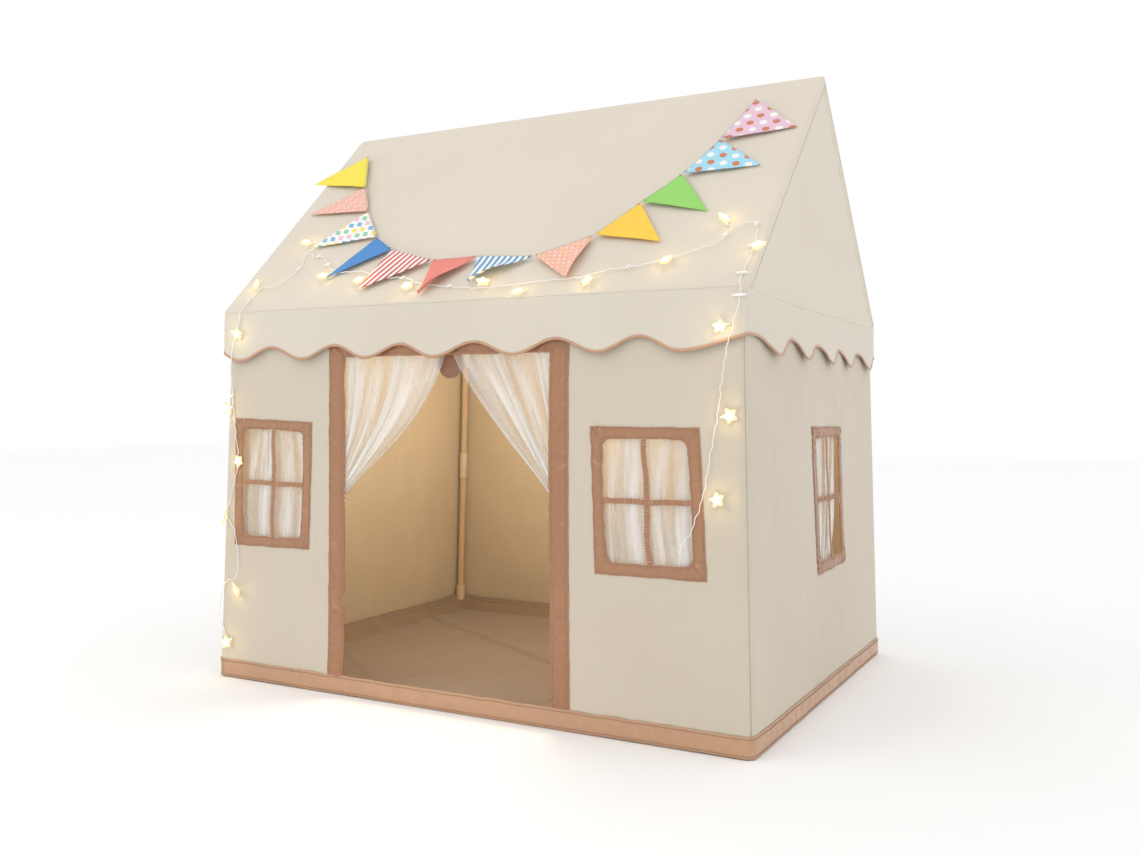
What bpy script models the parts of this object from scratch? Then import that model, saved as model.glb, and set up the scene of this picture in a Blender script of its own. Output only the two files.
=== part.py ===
"""A child's play tent: a plug-together pole frame, a fabric cover, pennants and a star light string.

Metres, +Z up. The origin is on the floor under the middle of the tent, the door faces -Y,
and the ridge runs along X.
"""

import math

import bmesh
import bpy
from mathutils import Matrix, Vector

# ---- Driving dimensions ----
BASE_HALF_X = 0.650
BASE_HALF_Y = 0.500
EAVE_HALF_X = 0.624
EAVE_HALF_Y = 0.489
ROOF_HALF_X = 0.632
ROOF_HALF_Y = 0.500
EAVE_Z = 0.845
RIDGE_Z = 1.350

FABRIC = 0.0025
TRIM = 0.0015
GAP = 0.0004
HEM_HEIGHT = 0.042
HEM_CORNER = 0.012
WALL_TOP_Z = 0.846

POLE_RADIUS = 0.010
SOCKET_RADIUS = 0.0145
HUB_RADIUS = 0.0150
SOCKET_GAP = 0.0005
POLE_INSET = 0.019
POLE_START = 0.024
POLE_START_STEEP = 0.040
SOCKET_LENGTH = 0.060
SOCKET_LENGTH_STEEP = 0.082
BORE_SPARE = 0.010
ROUND_SIDES = 16
BASE_HUB_Z = 0.016

MAT_HALF_X = 0.612
MAT_HALF_Y = 0.462
MAT_THICKNESS = 0.008
MAT_CORNER = 0.030

DOOR_LEFT = -0.2825
DOOR_RIGHT = 0.2325
DOOR_TOP = 0.735
DOOR_TRIM_WIDTH = 0.042

WINDOW_TRIM = 0.0245
MUNTIN = 0.012
# Each window: wall, middle and half sizes of the opening in the wall's own plane.
WINDOWS = {
    "front_left": {"wall": "front", "middle": (-0.4883, 0.4530), "half": (0.0866, 0.1200)},
    "front_right": {"wall": "front", "middle": (0.4356, 0.4506), "half": (0.0888, 0.1165)},
    "right": {"wall": "right", "middle": (0.0568, 0.4307), "half": (0.0940, 0.1336)},
}

VALANCE_LOW = 0.727
VALANCE_WAVE = 0.017
FRONT_SCALLOP = {"pitch": 0.181, "low_at": -0.035}
SIDE_SCALLOP = {"pitch": 0.1825, "low_at": 0.059}
SCALLOP_STEPS = 10
SKIRT_SPARE = 0.050

# The curtains hang behind the walls. The door's two halves part from the middle of the header
# to a tie behind each jamb, and their tails hang straight down from it.
CURTAIN_DEPTH = 0.0110
CURTAIN_THICKNESS = 0.004
DOOR_CURTAIN_THICKNESS = 0.006
CURTAIN_TOP = 0.765
TAIL_LOW = 0.090
TAIL_TOP = 0.400
TAIL_BEGIN = 0.012
TAIL_END = 0.090
LEFT_DRAPE = [
    (-0.026, 0.730), (-0.089, 0.620), (-0.141, 0.560), (-0.194, 0.517), (-0.248, 0.472), (-0.295, 0.430),
]
RIGHT_DRAPE = [
    (-0.006, 0.733), (0.036, 0.676), (0.108, 0.586), (0.155, 0.535), (0.201, 0.485), (0.246, 0.430),
]
WINDOW_CURTAIN_SPARE = (0.016, 0.018, 0.020)

STRING_RADIUS = 0.00125
STRING_HEIGHT = 0.0090
PENNANT_THICKNESS = 0.0012
PENNANT_CLEARANCE = 0.0020
PENNANT_SIDE_GAP = 0.003
# Where the bunting string is pinned along the roof slope, as (x, distance up from the eave).
STRING_KNOTS = [
    (-0.548, 0.609), (-0.471, 0.457), (-0.401, 0.347), (-0.313, 0.235), (-0.241, 0.182),
    (-0.105, 0.130), (0.009, 0.132), (0.151, 0.118), (0.269, 0.174), (0.340, 0.275),
    (0.405, 0.365), (0.457, 0.482), (0.499, 0.632),
]
# Each pennant's point, as (shift along its string, drop below it).
PENNANT_POINTS = [
    (-0.048, 0.155), (-0.055, 0.155), (-0.030, 0.155), (-0.016, 0.153), (-0.044, 0.137),
    (-0.038, 0.115), (-0.045, 0.085), (-0.004, 0.115), (0.000, 0.143), (0.000, 0.150),
    (0.010, 0.145), (-0.014, 0.146),
]

CORD_RADIUS = 0.0013
CORD_LIFT = 0.0042
CORD_STEP = 0.048

BOX_SIZE = (0.048, 0.072, 0.020)
BOX_WALL = 0.0018
BOX_MIDDLE = (0.500, -0.392)
BOX_COVER = 0.0016
SWITCH_SIZE = (0.0030, 0.006, 0.005)
SWITCH_SINK = 0.0010
SWITCH_TRAVEL = 0.004
BOX_FLOOR = MAT_THICKNESS + GAP
CORD_ENTRY = 0.008

CREAM = (0.74, 0.67, 0.56)
BROWN = (0.45, 0.22, 0.13)
SHEER = (0.86, 0.83, 0.78)
WOOD = (0.60, 0.42, 0.25)
IVORY = (0.82, 0.78, 0.68)
MAT_BROWN = (0.38, 0.24, 0.13)
WHITE = (0.85, 0.84, 0.80)
PENNANT_COLOURS = [
    (0.85, 0.60, 0.16), (0.84, 0.42, 0.36), (0.82, 0.78, 0.72), (0.20, 0.38, 0.62),
    (0.80, 0.30, 0.28), (0.86, 0.34, 0.26), (0.45, 0.60, 0.75), (0.84, 0.50, 0.52),
    (0.90, 0.52, 0.12), (0.25, 0.52, 0.34), (0.52, 0.72, 0.80), (0.86, 0.48, 0.50),
]


# ---- General helpers ----
def clear_scene():
    for thing in list(bpy.data.objects):
        bpy.data.objects.remove(thing, do_unlink=True)


def new_collection(name):
    group = bpy.data.collections.new(name)
    bpy.context.scene.collection.children.link(group)
    return group


def material(name, colour, roughness, metallic=0.0, alpha=1.0):
    made = bpy.data.materials.get(name)
    if made is None:
        made = bpy.data.materials.new(name)
        made.use_nodes = True
        shader = made.node_tree.nodes["Principled BSDF"]
        shader.inputs["Base Color"].default_value = (*colour, 1.0)
        shader.inputs["Roughness"].default_value = roughness
        shader.inputs["Metallic"].default_value = metallic
        shader.inputs["Alpha"].default_value = alpha
        made.diffuse_color = (*colour, 1.0)
    return made


def add_object(name, data, paint):
    made = bpy.data.objects.new(name, data)
    PARTS.objects.link(made)
    if paint is not None:
        data.materials.append(paint)
    return made


def frozen_mesh(thing):
    """The evaluated mesh of an object, with its loose caps welded on."""
    bpy.context.view_layer.update()
    graph = bpy.context.evaluated_depsgraph_get()
    mesh = bpy.data.meshes.new_from_object(thing.evaluated_get(graph))
    work = bmesh.new()
    work.from_mesh(mesh)
    bmesh.ops.remove_doubles(work, verts=work.verts, dist=0.00001)
    work.to_mesh(mesh)
    work.free()
    return mesh


def as_mesh(curve_object):
    """The same object with a mesh in place of its curve."""
    mesh = frozen_mesh(curve_object)
    name = curve_object.name
    place = curve_object.matrix_world.copy()
    bpy.data.objects.remove(curve_object)
    made = add_object(name, mesh, None)
    made.matrix_world = place
    return made


def combine(target, tool, operation):
    """Applies a Boolean of the tool to the target, and removes the tool."""
    step = target.modifiers.new(operation.lower(), "BOOLEAN")
    step.operation = operation
    step.solver = "EXACT"
    step.object = tool
    mesh = frozen_mesh(target)
    target.modifiers.clear()
    target.data = mesh
    bpy.data.objects.remove(tool)
    return target


def outline_plate(name, outline, holes, thickness, paint):
    """A flat plate in the local XY plane, its middle at z = 0, cut to an outline with holes."""
    curve = bpy.data.curves.new(name, "CURVE")
    curve.dimensions = "2D"
    curve.fill_mode = "BOTH"
    curve.extrude = thickness / 2
    for ring in [outline, *holes]:
        spline = curve.splines.new("POLY")
        spline.points.add(len(ring) - 1)
        for point, (x, y) in zip(spline.points, ring):
            point.co = (x, y, 0.0, 1.0)
        spline.use_cyclic_u = True
    return add_object(name, curve, paint)


def rectangle(left, bottom, right, top):
    return [(left, bottom), (right, bottom), (right, top), (left, top)]


def rounded_rectangle(half_x, half_y, radius, steps=4):
    points = []
    for corner, (sign_x, sign_y) in enumerate([(1, 1), (-1, 1), (-1, -1), (1, -1)]):
        middle = (sign_x * (half_x - radius), sign_y * (half_y - radius))
        for step in range(steps + 1):
            angle = math.radians(90 * corner + 90 * step / steps)
            points.append((middle[0] + radius * math.cos(angle), middle[1] + radius * math.sin(angle)))
    return points


def block(name, size, middle, paint):
    mesh = bpy.data.meshes.new(name)
    work = bmesh.new()
    bmesh.ops.create_cube(work, size=1.0)
    bmesh.ops.scale(work, vec=size, verts=work.verts)
    work.to_mesh(mesh)
    work.free()
    made = add_object(name, mesh, paint)
    made.location = middle
    return made


# ---- The slopes that pieces lie on ----
def frame_matrix(origin, right, up):
    right = Vector(right).normalized()
    up = Vector(up).normalized()
    out = right.cross(up)
    turn = Matrix((right, up, out)).transposed()
    return Matrix.Translation(origin) @ turn.to_4x4()


def wall_frames():
    """Each wall's plane: x to the right as seen from outside, y up the wall, z outwards."""
    rise = EAVE_Z
    lean_x = BASE_HALF_X - EAVE_HALF_X
    lean_y = BASE_HALF_Y - EAVE_HALF_Y
    return {
        "front": frame_matrix((0, -BASE_HALF_Y, 0), (1, 0, 0), (0, lean_y, rise)),
        "back": frame_matrix((0, BASE_HALF_Y, 0), (-1, 0, 0), (0, -lean_y, rise)),
        "right": frame_matrix((BASE_HALF_X, 0, 0), (0, 1, 0), (-lean_x, 0, rise)),
        "left": frame_matrix((-BASE_HALF_X, 0, 0), (0, -1, 0), (lean_x, 0, rise)),
    }


def slope_frame():
    """The front roof slope: x along the eave, y up the slope from the eave, z outwards."""
    return frame_matrix((0, -ROOF_HALF_Y, EAVE_Z), (1, 0, 0), (0, ROOF_HALF_Y, RIDGE_Z - EAVE_Z))


def on_wall(thing, wall, depth):
    """Puts a flat piece on a wall, its middle plane this far outside the wall's outer face."""
    thing.matrix_world = WALLS[wall] @ Matrix.Translation((0, 0, depth))
    return thing


# ---- Pole frame ----
def hub_points():
    """The corners of the pole frame, where the connectors sit."""
    slope = (RIDGE_Z - EAVE_Z) / ROOF_HALF_Y
    drop = POLE_INSET * math.hypot(1, slope)
    base_x = BASE_HALF_X - POLE_INSET
    base_y = BASE_HALF_Y - POLE_INSET
    eave_x = EAVE_HALF_X - POLE_INSET
    eave_y = EAVE_HALF_Y - POLE_INSET
    eave_z = EAVE_Z + (ROOF_HALF_Y - eave_y) * slope - drop
    points = {}
    for side, sign_x in (("left", -1), ("right", 1)):
        points["ridge", side] = Vector((sign_x * eave_x, 0, RIDGE_Z - drop))
        for end, sign_y in (("front", -1), ("back", 1)):
            points["base", end, side] = Vector((sign_x * base_x, sign_y * base_y, BASE_HUB_Z))
            points["eave", end, side] = Vector((sign_x * eave_x, sign_y * eave_y, eave_z))
    return points


def pole_list():
    """Every pole as its name, its two hubs and how far from each hub it starts."""
    poles = []
    for side in ("left", "right"):
        for end in ("front", "back"):
            base = ("base", end, side)
            eave = ("eave", end, side)
            poles.append((f"post_{end}_{side}", base, eave, POLE_START, POLE_START))
            poles.append((f"rafter_{end}_{side}", eave, ("ridge", side), POLE_START_STEEP, POLE_START))
        for level in ("base", "eave"):
            front = (level, "front", side)
            back = (level, "back", side)
            poles.append((f"{level}_rail_{side}", front, back, POLE_START, POLE_START))
    for end in ("front", "back"):
        for level in ("base", "eave"):
            left = (level, end, "left")
            right = (level, end, "right")
            poles.append((f"{level}_rail_{end}", left, right, POLE_START, POLE_START))
    poles.append(("ridge_pole", ("ridge", "left"), ("ridge", "right"), POLE_START, POLE_START))
    return poles


def rod(name, start, end, begin, finish, radius, paint):
    """A round rod on the line from start to end, from one distance along it to another."""
    line = end - start
    direction = line.normalized()
    bpy.ops.mesh.primitive_cylinder_add(vertices=ROUND_SIDES, radius=radius, depth=finish - begin)
    made = bpy.context.object
    for group in list(made.users_collection):
        group.objects.unlink(made)
    PARTS.objects.link(made)
    made.name = name
    made.rotation_mode = "QUATERNION"
    made.rotation_quaternion = direction.to_track_quat("Z", "Y")
    made.location = start + direction * (begin + finish) / 2
    made.data.materials.append(paint)
    made.data.shade_smooth()
    made.data.set_sharp_from_angle(angle=math.radians(40))
    return made


def make_poles(points):
    paint = material("wood", WOOD, 0.55)
    for name, first, second, skip_first, skip_second in pole_list():
        start = points[first]
        end = points[second]
        rod(name, start, end, skip_first, (end - start).length - skip_second, POLE_RADIUS, paint)


def make_connector(name, hub, points):
    """A moulded corner: a round hub with one socket for each pole that meets there."""
    paint = material("connector_plastic", IVORY, 0.45)
    mesh = bpy.data.meshes.new(name)
    work = bmesh.new()
    bmesh.ops.create_uvsphere(work, u_segments=ROUND_SIDES, v_segments=8, radius=HUB_RADIUS)
    work.to_mesh(mesh)
    work.free()
    body = add_object(name, mesh, paint)
    body.location = points[hub]
    held = []
    for _, first, second, skip_first, skip_second in pole_list():
        if hub not in (first, second):
            continue
        start = points[first]
        end = points[second]
        length = (end - start).length
        skip = skip_first if hub == first else skip_second
        reach = SOCKET_LENGTH_STEEP if skip > POLE_START else SOCKET_LENGTH
        held.append((start, end, length, skip, reach, hub == first))
    for start, end, length, _, reach, at_start in held:
        span = (0.001, reach) if at_start else (length - reach, length - 0.001)
        combine(body, rod("socket", start, end, *span, SOCKET_RADIUS, paint), "UNION")
    for start, end, length, skip, reach, at_start in held:
        inner = skip - SOCKET_GAP
        outer = reach + BORE_SPARE
        span = (inner, outer) if at_start else (length - outer, length - inner)
        bore = rod("bore", start, end, *span, POLE_RADIUS + SOCKET_GAP, paint)
        combine(body, bore, "DIFFERENCE")
    return body


def make_connectors(points):
    for hub in points:
        name = "_".join((hub[0], "connector", *hub[1:]))
        make_connector(name, hub, points)


# ---- Fabric cover ----
def wall_half_width(wall, height):
    """Half the width of a wall's outline at a height, inside its neighbours."""
    if wall in ("front", "back"):
        return BASE_HALF_X - (BASE_HALF_X - EAVE_HALF_X) * height / EAVE_Z - FABRIC - 2 * GAP
    return BASE_HALF_Y - (BASE_HALF_Y - EAVE_HALF_Y) * height / EAVE_Z - GAP


def wall_outline(wall):
    low = HEM_HEIGHT + 2 * GAP
    wide = wall_half_width(wall, low)
    narrow = wall_half_width(wall, WALL_TOP_Z)
    if wall != "front":
        return [(-wide, low), (wide, low), (narrow, WALL_TOP_Z), (-narrow, WALL_TOP_Z)]
    return [
        (-wide, low), (DOOR_LEFT, low), (DOOR_LEFT, DOOR_TOP), (DOOR_RIGHT, DOOR_TOP),
        (DOOR_RIGHT, low), (wide, low), (narrow, WALL_TOP_Z), (-narrow, WALL_TOP_Z),
    ]


def window_rectangle(window, extra=0.0):
    x, y = window["middle"]
    half_x, half_y = window["half"]
    return rectangle(x - half_x - extra, y - half_y - extra, x + half_x + extra, y + half_y + extra)


def make_walls():
    paint = material("canvas", CREAM, 0.9)
    for wall in WALLS:
        holes = [window_rectangle(window) for window in WINDOWS.values() if window["wall"] == wall]
        plate = outline_plate(f"{wall}_wall", wall_outline(wall), holes, FABRIC, paint)
        on_wall(plate, wall, -FABRIC / 2)


def make_window_frame(name, window):
    """The sewn border of a window and its crossing bars, which leave four panes open."""
    paint = material("trim_fabric", BROWN, 0.85)
    x, y = window["middle"]
    half_x, half_y = window["half"]
    bar = MUNTIN / 2
    panes = []
    for low_x, high_x in ((x - half_x, x - bar), (x + bar, x + half_x)):
        for low_y, high_y in ((y - half_y, y - bar), (y + bar, y + half_y)):
            panes.append(rectangle(low_x, low_y, high_x, high_y))
    plate = outline_plate(f"window_frame_{name}", window_rectangle(window, WINDOW_TRIM), panes, TRIM, paint)
    on_wall(plate, window["wall"], GAP + TRIM / 2)


def make_door_trim():
    low = HEM_HEIGHT + 2 * GAP
    wide = DOOR_TRIM_WIDTH
    outline = [
        (DOOR_LEFT - wide, low), (DOOR_LEFT, low), (DOOR_LEFT, DOOR_TOP), (DOOR_RIGHT, DOOR_TOP),
        (DOOR_RIGHT, low), (DOOR_RIGHT + wide, low), (DOOR_RIGHT + wide, DOOR_TOP + wide),
        (DOOR_LEFT - wide, DOOR_TOP + wide),
    ]
    plate = outline_plate("door_trim", outline, [], TRIM, material("trim_fabric", BROWN, 0.85))
    on_wall(plate, "front", GAP + TRIM / 2)


def make_base_hem():
    outer = rounded_rectangle(BASE_HALF_X, BASE_HALF_Y, HEM_CORNER)
    inner = rounded_rectangle(BASE_HALF_X - FABRIC, BASE_HALF_Y - FABRIC, HEM_CORNER - FABRIC)
    ring = outline_plate("base_hem", outer, [inner], HEM_HEIGHT, material("trim_fabric", BROWN, 0.85))
    ring.location.z = HEM_HEIGHT / 2


def make_floor_mat():
    outline = rounded_rectangle(MAT_HALF_X, MAT_HALF_Y, MAT_CORNER)
    plate = outline_plate("floor_mat", outline, [], MAT_THICKNESS, material("mat", MAT_BROWN, 0.9))
    plate.location.z = MAT_THICKNESS / 2


def house_prism(name, half_x, half_y, eave_z, ridge_z, low, paint):
    """A long house shape: straight sides, then two slopes up to the ridge along X."""
    outline = [(-half_y, low), (half_y, low), (half_y, eave_z), (0, ridge_z), (-half_y, eave_z)]
    prism = outline_plate(name, outline, [], 2 * half_x, paint)
    prism.matrix_world = Matrix(((0, 0, 1, 0), (1, 0, 0, 0), (0, 1, 0, 0), (0, 0, 0, 1)))
    return as_mesh(prism)


def scallop_cutter(half_run, outside, reach, wave, turn):
    """A slab below the scalloped line of one side, from just inside its skirt to well outside it."""
    steps = round(2 * half_run / wave["pitch"] * SCALLOP_STEPS)
    line = []
    for step in range(steps + 1):
        x = -half_run + 2 * half_run * step / steps
        phase = 2 * math.pi * (x - wave["low_at"]) / wave["pitch"]
        line.append((x, VALANCE_LOW + VALANCE_WAVE * (1 - math.cos(phase))))
    bottom = VALANCE_LOW - 2 * SKIRT_SPARE
    outline = [(-half_run, bottom), (half_run, bottom), *reversed(line)]
    slab = outline_plate("scallop_cutter", outline, [], 2 * reach, None)
    upright = Matrix.Translation((0, -outside, 0)) @ Matrix.Rotation(math.radians(90), 4, "X")
    slab.matrix_world = Matrix.Rotation(math.radians(turn), 4, "Z") @ upright
    return as_mesh(slab)


def make_roof_cover():
    """Two slopes and two gables in one shell, open below, with the scalloped valance around it."""
    paint = material("canvas", CREAM, 0.9)
    low = VALANCE_LOW - SKIRT_SPARE
    slope = (RIDGE_Z - EAVE_Z) / ROOF_HALF_Y
    inner_ridge = RIDGE_Z - FABRIC * math.hypot(1, slope)
    inner_eave = inner_ridge - (ROOF_HALF_Y - FABRIC) * slope
    inner_x = ROOF_HALF_X - FABRIC
    inner_y = ROOF_HALF_Y - FABRIC
    cover = house_prism("roof_cover", ROOF_HALF_X, ROOF_HALF_Y, EAVE_Z, RIDGE_Z, low, paint)
    hollow = house_prism("hollow", inner_x, inner_y, inner_eave, inner_ridge, low - SKIRT_SPARE, paint)
    combine(cover, hollow, "DIFFERENCE")
    # The front and back slabs end inside the side skirts, and the side slabs take off the corners.
    reach = 3 * FABRIC
    for turn in (0, 180):
        slab = scallop_cutter(inner_x + FABRIC / 2, ROOF_HALF_Y, reach, FRONT_SCALLOP, turn)
        combine(cover, slab, "DIFFERENCE")
    for turn in (90, -90):
        slab = scallop_cutter(ROOF_HALF_Y + reach, ROOF_HALF_X, 2 * FABRIC, SIDE_SCALLOP, turn)
        combine(cover, slab, "DIFFERENCE")
    return cover


# ---- Curtains ----
def make_door_curtain(side):
    """One half of the door's curtain, gathered to its jamb, with its tail hanging behind the wall."""
    paint = material("sheer_fabric", SHEER, 0.9, alpha=0.8)
    jamb, away, drape = (DOOR_LEFT, -1, LEFT_DRAPE) if side == "left" else (DOOR_RIGHT, 1, RIGHT_DRAPE)
    begin = jamb + away * TAIL_BEGIN
    end = jamb + away * TAIL_END
    waist = begin + (end - begin) * 0.6
    outline = [
        (drape[0][0], CURTAIN_TOP), *drape, (begin, TAIL_TOP), (begin, TAIL_LOW), (end, TAIL_LOW),
        (waist, TAIL_TOP), (waist, CURTAIN_TOP),
    ]
    plate = outline_plate(f"door_curtain_{side}", outline, [], DOOR_CURTAIN_THICKNESS, paint)
    on_wall(plate, "front", -CURTAIN_DEPTH)


def make_window_curtain(name, window):
    """A window's curtain. The right wall's is drawn to one side, so part of its window is clear."""
    paint = material("sheer_fabric", SHEER, 0.9, alpha=0.8)
    x, y = window["middle"]
    half_x, half_y = window["half"]
    beside, below, above = WINDOW_CURTAIN_SPARE
    left, low, right, top = x - half_x - beside, y - half_y - below, x + half_x + beside, y + half_y + above
    outline = rectangle(left, low, right, top)
    if name == "right":
        drawn = [(x - 0.2 * half_x, low), (x + 0.3 * half_x, y), (right - 0.3 * half_x, top - 0.4 * half_y)]
        outline = [(left, low), *drawn, (right, top), (left, top)]
    plate = outline_plate(f"window_curtain_{name}", outline, [], CURTAIN_THICKNESS, paint)
    on_wall(plate, window["wall"], -CURTAIN_DEPTH)


# ---- Pennants ----
def make_bunting_string():
    curve = bpy.data.curves.new("bunting_string", "CURVE")
    curve.dimensions = "3D"
    curve.bevel_depth = STRING_RADIUS
    curve.bevel_resolution = 2
    curve.use_fill_caps = True
    spline = curve.splines.new("POLY")
    spline.points.add(len(STRING_KNOTS) - 1)
    for point, (x, up) in zip(spline.points, STRING_KNOTS):
        point.co = (*(SLOPE @ Vector((x, up, STRING_HEIGHT))), 1.0)
    return add_object("bunting_string", curve, material("string", WHITE, 0.8))


def pennant_frame(start, end):
    """On the slope, with x along the string, y down from it and z into the roof."""
    first = SLOPE @ Vector((*start, STRING_HEIGHT))
    second = SLOPE @ Vector((*end, STRING_HEIGHT))
    along = (second - first).normalized()
    outwards = SLOPE.to_3x3() @ Vector((0, 0, 1))
    down = along.cross(outwards)
    return frame_matrix((first + second) / 2, along, down), (second - first).length


def make_pennants():
    for index, (shift, drop) in enumerate(PENNANT_POINTS):
        place, length = pennant_frame(STRING_KNOTS[index], STRING_KNOTS[index + 1])
        half = length / 2 - PENNANT_SIDE_GAP
        near = STRING_RADIUS + PENNANT_CLEARANCE
        outline = [(-half, near), (half, near), (shift, drop)]
        paint = material(f"pennant_cloth_{index + 1}", PENNANT_COLOURS[index], 0.85)
        flag = outline_plate(f"pennant_{index + 1:02d}", outline, [], PENNANT_THICKNESS, paint)
        flag.matrix_world = place


# ---- Star light string ----
def wall_point(x, up, lift=CORD_LIFT):
    return WALLS["front"] @ Vector((x, up, lift))


def slope_point(x, up, lift=CORD_LIFT):
    return SLOPE @ Vector((x, up, lift))


def cord_route():
    """Up the left of the front, over the eave, along the slope, and down to the right window."""
    outside = -ROOF_HALF_Y - CORD_LIFT
    box_end = Vector((BOX_MIDDLE[0], BOX_MIDDLE[1] - BOX_SIZE[1] / 2 - GAP, BOX_FLOOR + CORD_ENTRY))
    return [
        wall_point(-0.615, 0.082), wall_point(-0.641, 0.152), wall_point(-0.621, 0.222),
        wall_point(-0.590, 0.234), wall_point(-0.599, 0.345), wall_point(-0.621, 0.371),
        wall_point(-0.610, 0.418), wall_point(-0.588, 0.500), wall_point(-0.596, 0.562),
        wall_point(-0.608, 0.645), wall_point(-0.606, 0.683, 0.0090),
        Vector((-0.600, outside - 0.0045, 0.722)), Vector((-0.594, outside - 0.0030, 0.770)),
        Vector((-0.580, outside, 0.815)), Vector((-0.572, outside - 0.0005, 0.850)),
        slope_point(-0.572, 0.022), slope_point(-0.562, 0.080), slope_point(-0.541, 0.075),
        slope_point(-0.505, 0.104), slope_point(-0.489, 0.150), slope_point(-0.507, 0.202),
        slope_point(-0.496, 0.210), slope_point(-0.470, 0.181), slope_point(-0.446, 0.183),
        slope_point(-0.395, 0.136), slope_point(-0.359, 0.117), slope_point(-0.277, 0.110),
        slope_point(-0.240, 0.085), slope_point(-0.155, 0.079), slope_point(-0.103, 0.056),
        slope_point(-0.022, 0.039), slope_point(0.060, 0.028), slope_point(0.133, 0.032),
        slope_point(0.210, 0.039), slope_point(0.290, 0.044), slope_point(0.337, 0.061),
        slope_point(0.394, 0.068), slope_point(0.446, 0.081), slope_point(0.496, 0.101),
        slope_point(0.545, 0.128), slope_point(0.566, 0.170), slope_point(0.603, 0.180),
        slope_point(0.615, 0.146), slope_point(0.620, 0.088), slope_point(0.617, 0.022),
        Vector((0.620, outside - 0.0005, 0.850)), Vector((0.619, outside, 0.820)),
        Vector((0.609, outside - 0.0030, 0.778)), Vector((0.598, outside - 0.0045, 0.735)),
        wall_point(0.586, 0.684, 0.0080), wall_point(0.577, 0.619), wall_point(0.565, 0.550),
        wall_point(0.550, 0.466), wall_point(0.538, 0.428), wall_point(0.526, 0.397),
        wall_point(0.509, 0.374, 0.0030), wall_point(0.503, 0.349, -0.0055),
        wall_point(0.506, 0.300, -0.0058), wall_point(0.508, 0.150, -0.0070),
        wall_point(0.504, 0.070, -0.022), box_end + Vector((0, -0.016, 0.001)), box_end,
    ]


def smooth_through(route, step_length):
    """Points on one smooth curve through every point of a route."""
    points = []
    last = len(route) - 1
    for index in range(last):
        before = route[max(index - 1, 0)]
        here = route[index]
        there = route[index + 1]
        after = route[min(index + 2, last)]
        count = max(1, round((there - here).length / step_length))
        for step in range(count):
            points.append(centripetal(before, here, there, after, step / count))
    points.append(route[-1])
    return points


def centripetal(before, here, there, after, share):
    """A point of a centripetal Catmull-Rom curve between the two middle points."""
    first = max((here - before).length, 0.000001) ** 0.5
    second = (there - here).length ** 0.5
    third = max((after - there).length, 0.000001) ** 0.5
    leave = there - here
    arrive = there - here
    if (here - before).length > 0:
        leave = ((here - before) / first - (there - before) / (first + second)) * second + (there - here)
    if (after - there).length > 0:
        arrive = ((after - there) / third - (after - here) / (second + third)) * second + (there - here)
    square = share * share
    cube = square * share
    return (
        here * (2 * cube - 3 * square + 1) + leave * (cube - 2 * square + share)
        + there * (3 * square - 2 * cube) + arrive * (cube - square)
    )


def make_light_cord():
    curve = bpy.data.curves.new("light_cord", "CURVE")
    curve.dimensions = "3D"
    curve.bevel_depth = CORD_RADIUS
    curve.bevel_resolution = 2
    curve.use_fill_caps = True
    points = smooth_through(cord_route(), CORD_STEP)
    spline = curve.splines.new("POLY")
    spline.points.add(len(points) - 1)
    for point, place in zip(spline.points, points):
        point.co = (*place, 1.0)
    return add_object("light_cord", curve, material("cord_plastic", WHITE, 0.4))


def make_battery_box():
    """An open tray for the cells, with a recess for the switch in its inner side."""
    paint = material("box_plastic", WHITE, 0.45)
    width, length, height = BOX_SIZE
    x, y = BOX_MIDDLE
    z = BOX_FLOOR + height / 2
    box = block("battery_box", BOX_SIZE, (x, y, z), paint)
    tray = (width - 2 * BOX_WALL, length - 2 * BOX_WALL, height)
    combine(box, block("bay", tray, (x, y, z + BOX_WALL), paint), "DIFFERENCE")
    _, knob, tall = SWITCH_SIZE
    recess = (2 * SWITCH_SINK, knob + SWITCH_TRAVEL + 2 * GAP, tall + 2 * GAP)
    combine(box, block("recess", recess, (x - width / 2, y + SWITCH_TRAVEL / 2, z), paint), "DIFFERENCE")


def make_battery_cover():
    """The lid that slides off the tray."""
    width, length, height = BOX_SIZE
    middle = (*BOX_MIDDLE, BOX_FLOOR + height + GAP + BOX_COVER / 2)
    block("battery_cover", (width, length, BOX_COVER), middle, material("box_plastic", WHITE, 0.45))


def make_battery_switch():
    """The small slide switch in its recess."""
    x, y = BOX_MIDDLE
    face = x - BOX_SIZE[0] / 2
    middle = (face - SWITCH_SIZE[0] / 2 + SWITCH_SINK - GAP, y, BOX_FLOOR + BOX_SIZE[2] / 2)
    block("battery_switch", SWITCH_SIZE, middle, material("switch_plastic", BROWN, 0.4))


# ---- The whole tent ----
clear_scene()
PARTS = new_collection("play_tent")
WALLS = wall_frames()
SLOPE = slope_frame()
HUBS = hub_points()

make_poles(HUBS)
make_connectors(HUBS)
make_walls()
make_base_hem()
make_floor_mat()
make_roof_cover()
make_door_trim()
for window_name, window_data in WINDOWS.items():
    make_window_frame(window_name, window_data)
    make_window_curtain(window_name, window_data)
make_door_curtain("left")
make_door_curtain("right")
make_bunting_string()
make_pennants()
make_light_cord()
make_battery_box()
make_battery_cover()
make_battery_switch()
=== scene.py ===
"""The looks of a child's play tent: its cloth, sewn trims, curtains, pennants and star lights.

The pole frame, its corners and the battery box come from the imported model, which is loaded
as a fixed frame. Everything is in metres, in the tent's own frame: +Z up, the door faces -Y.
"""

import math
import random

import bpy
import numpy as np
from mathutils import Matrix, Vector


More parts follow.
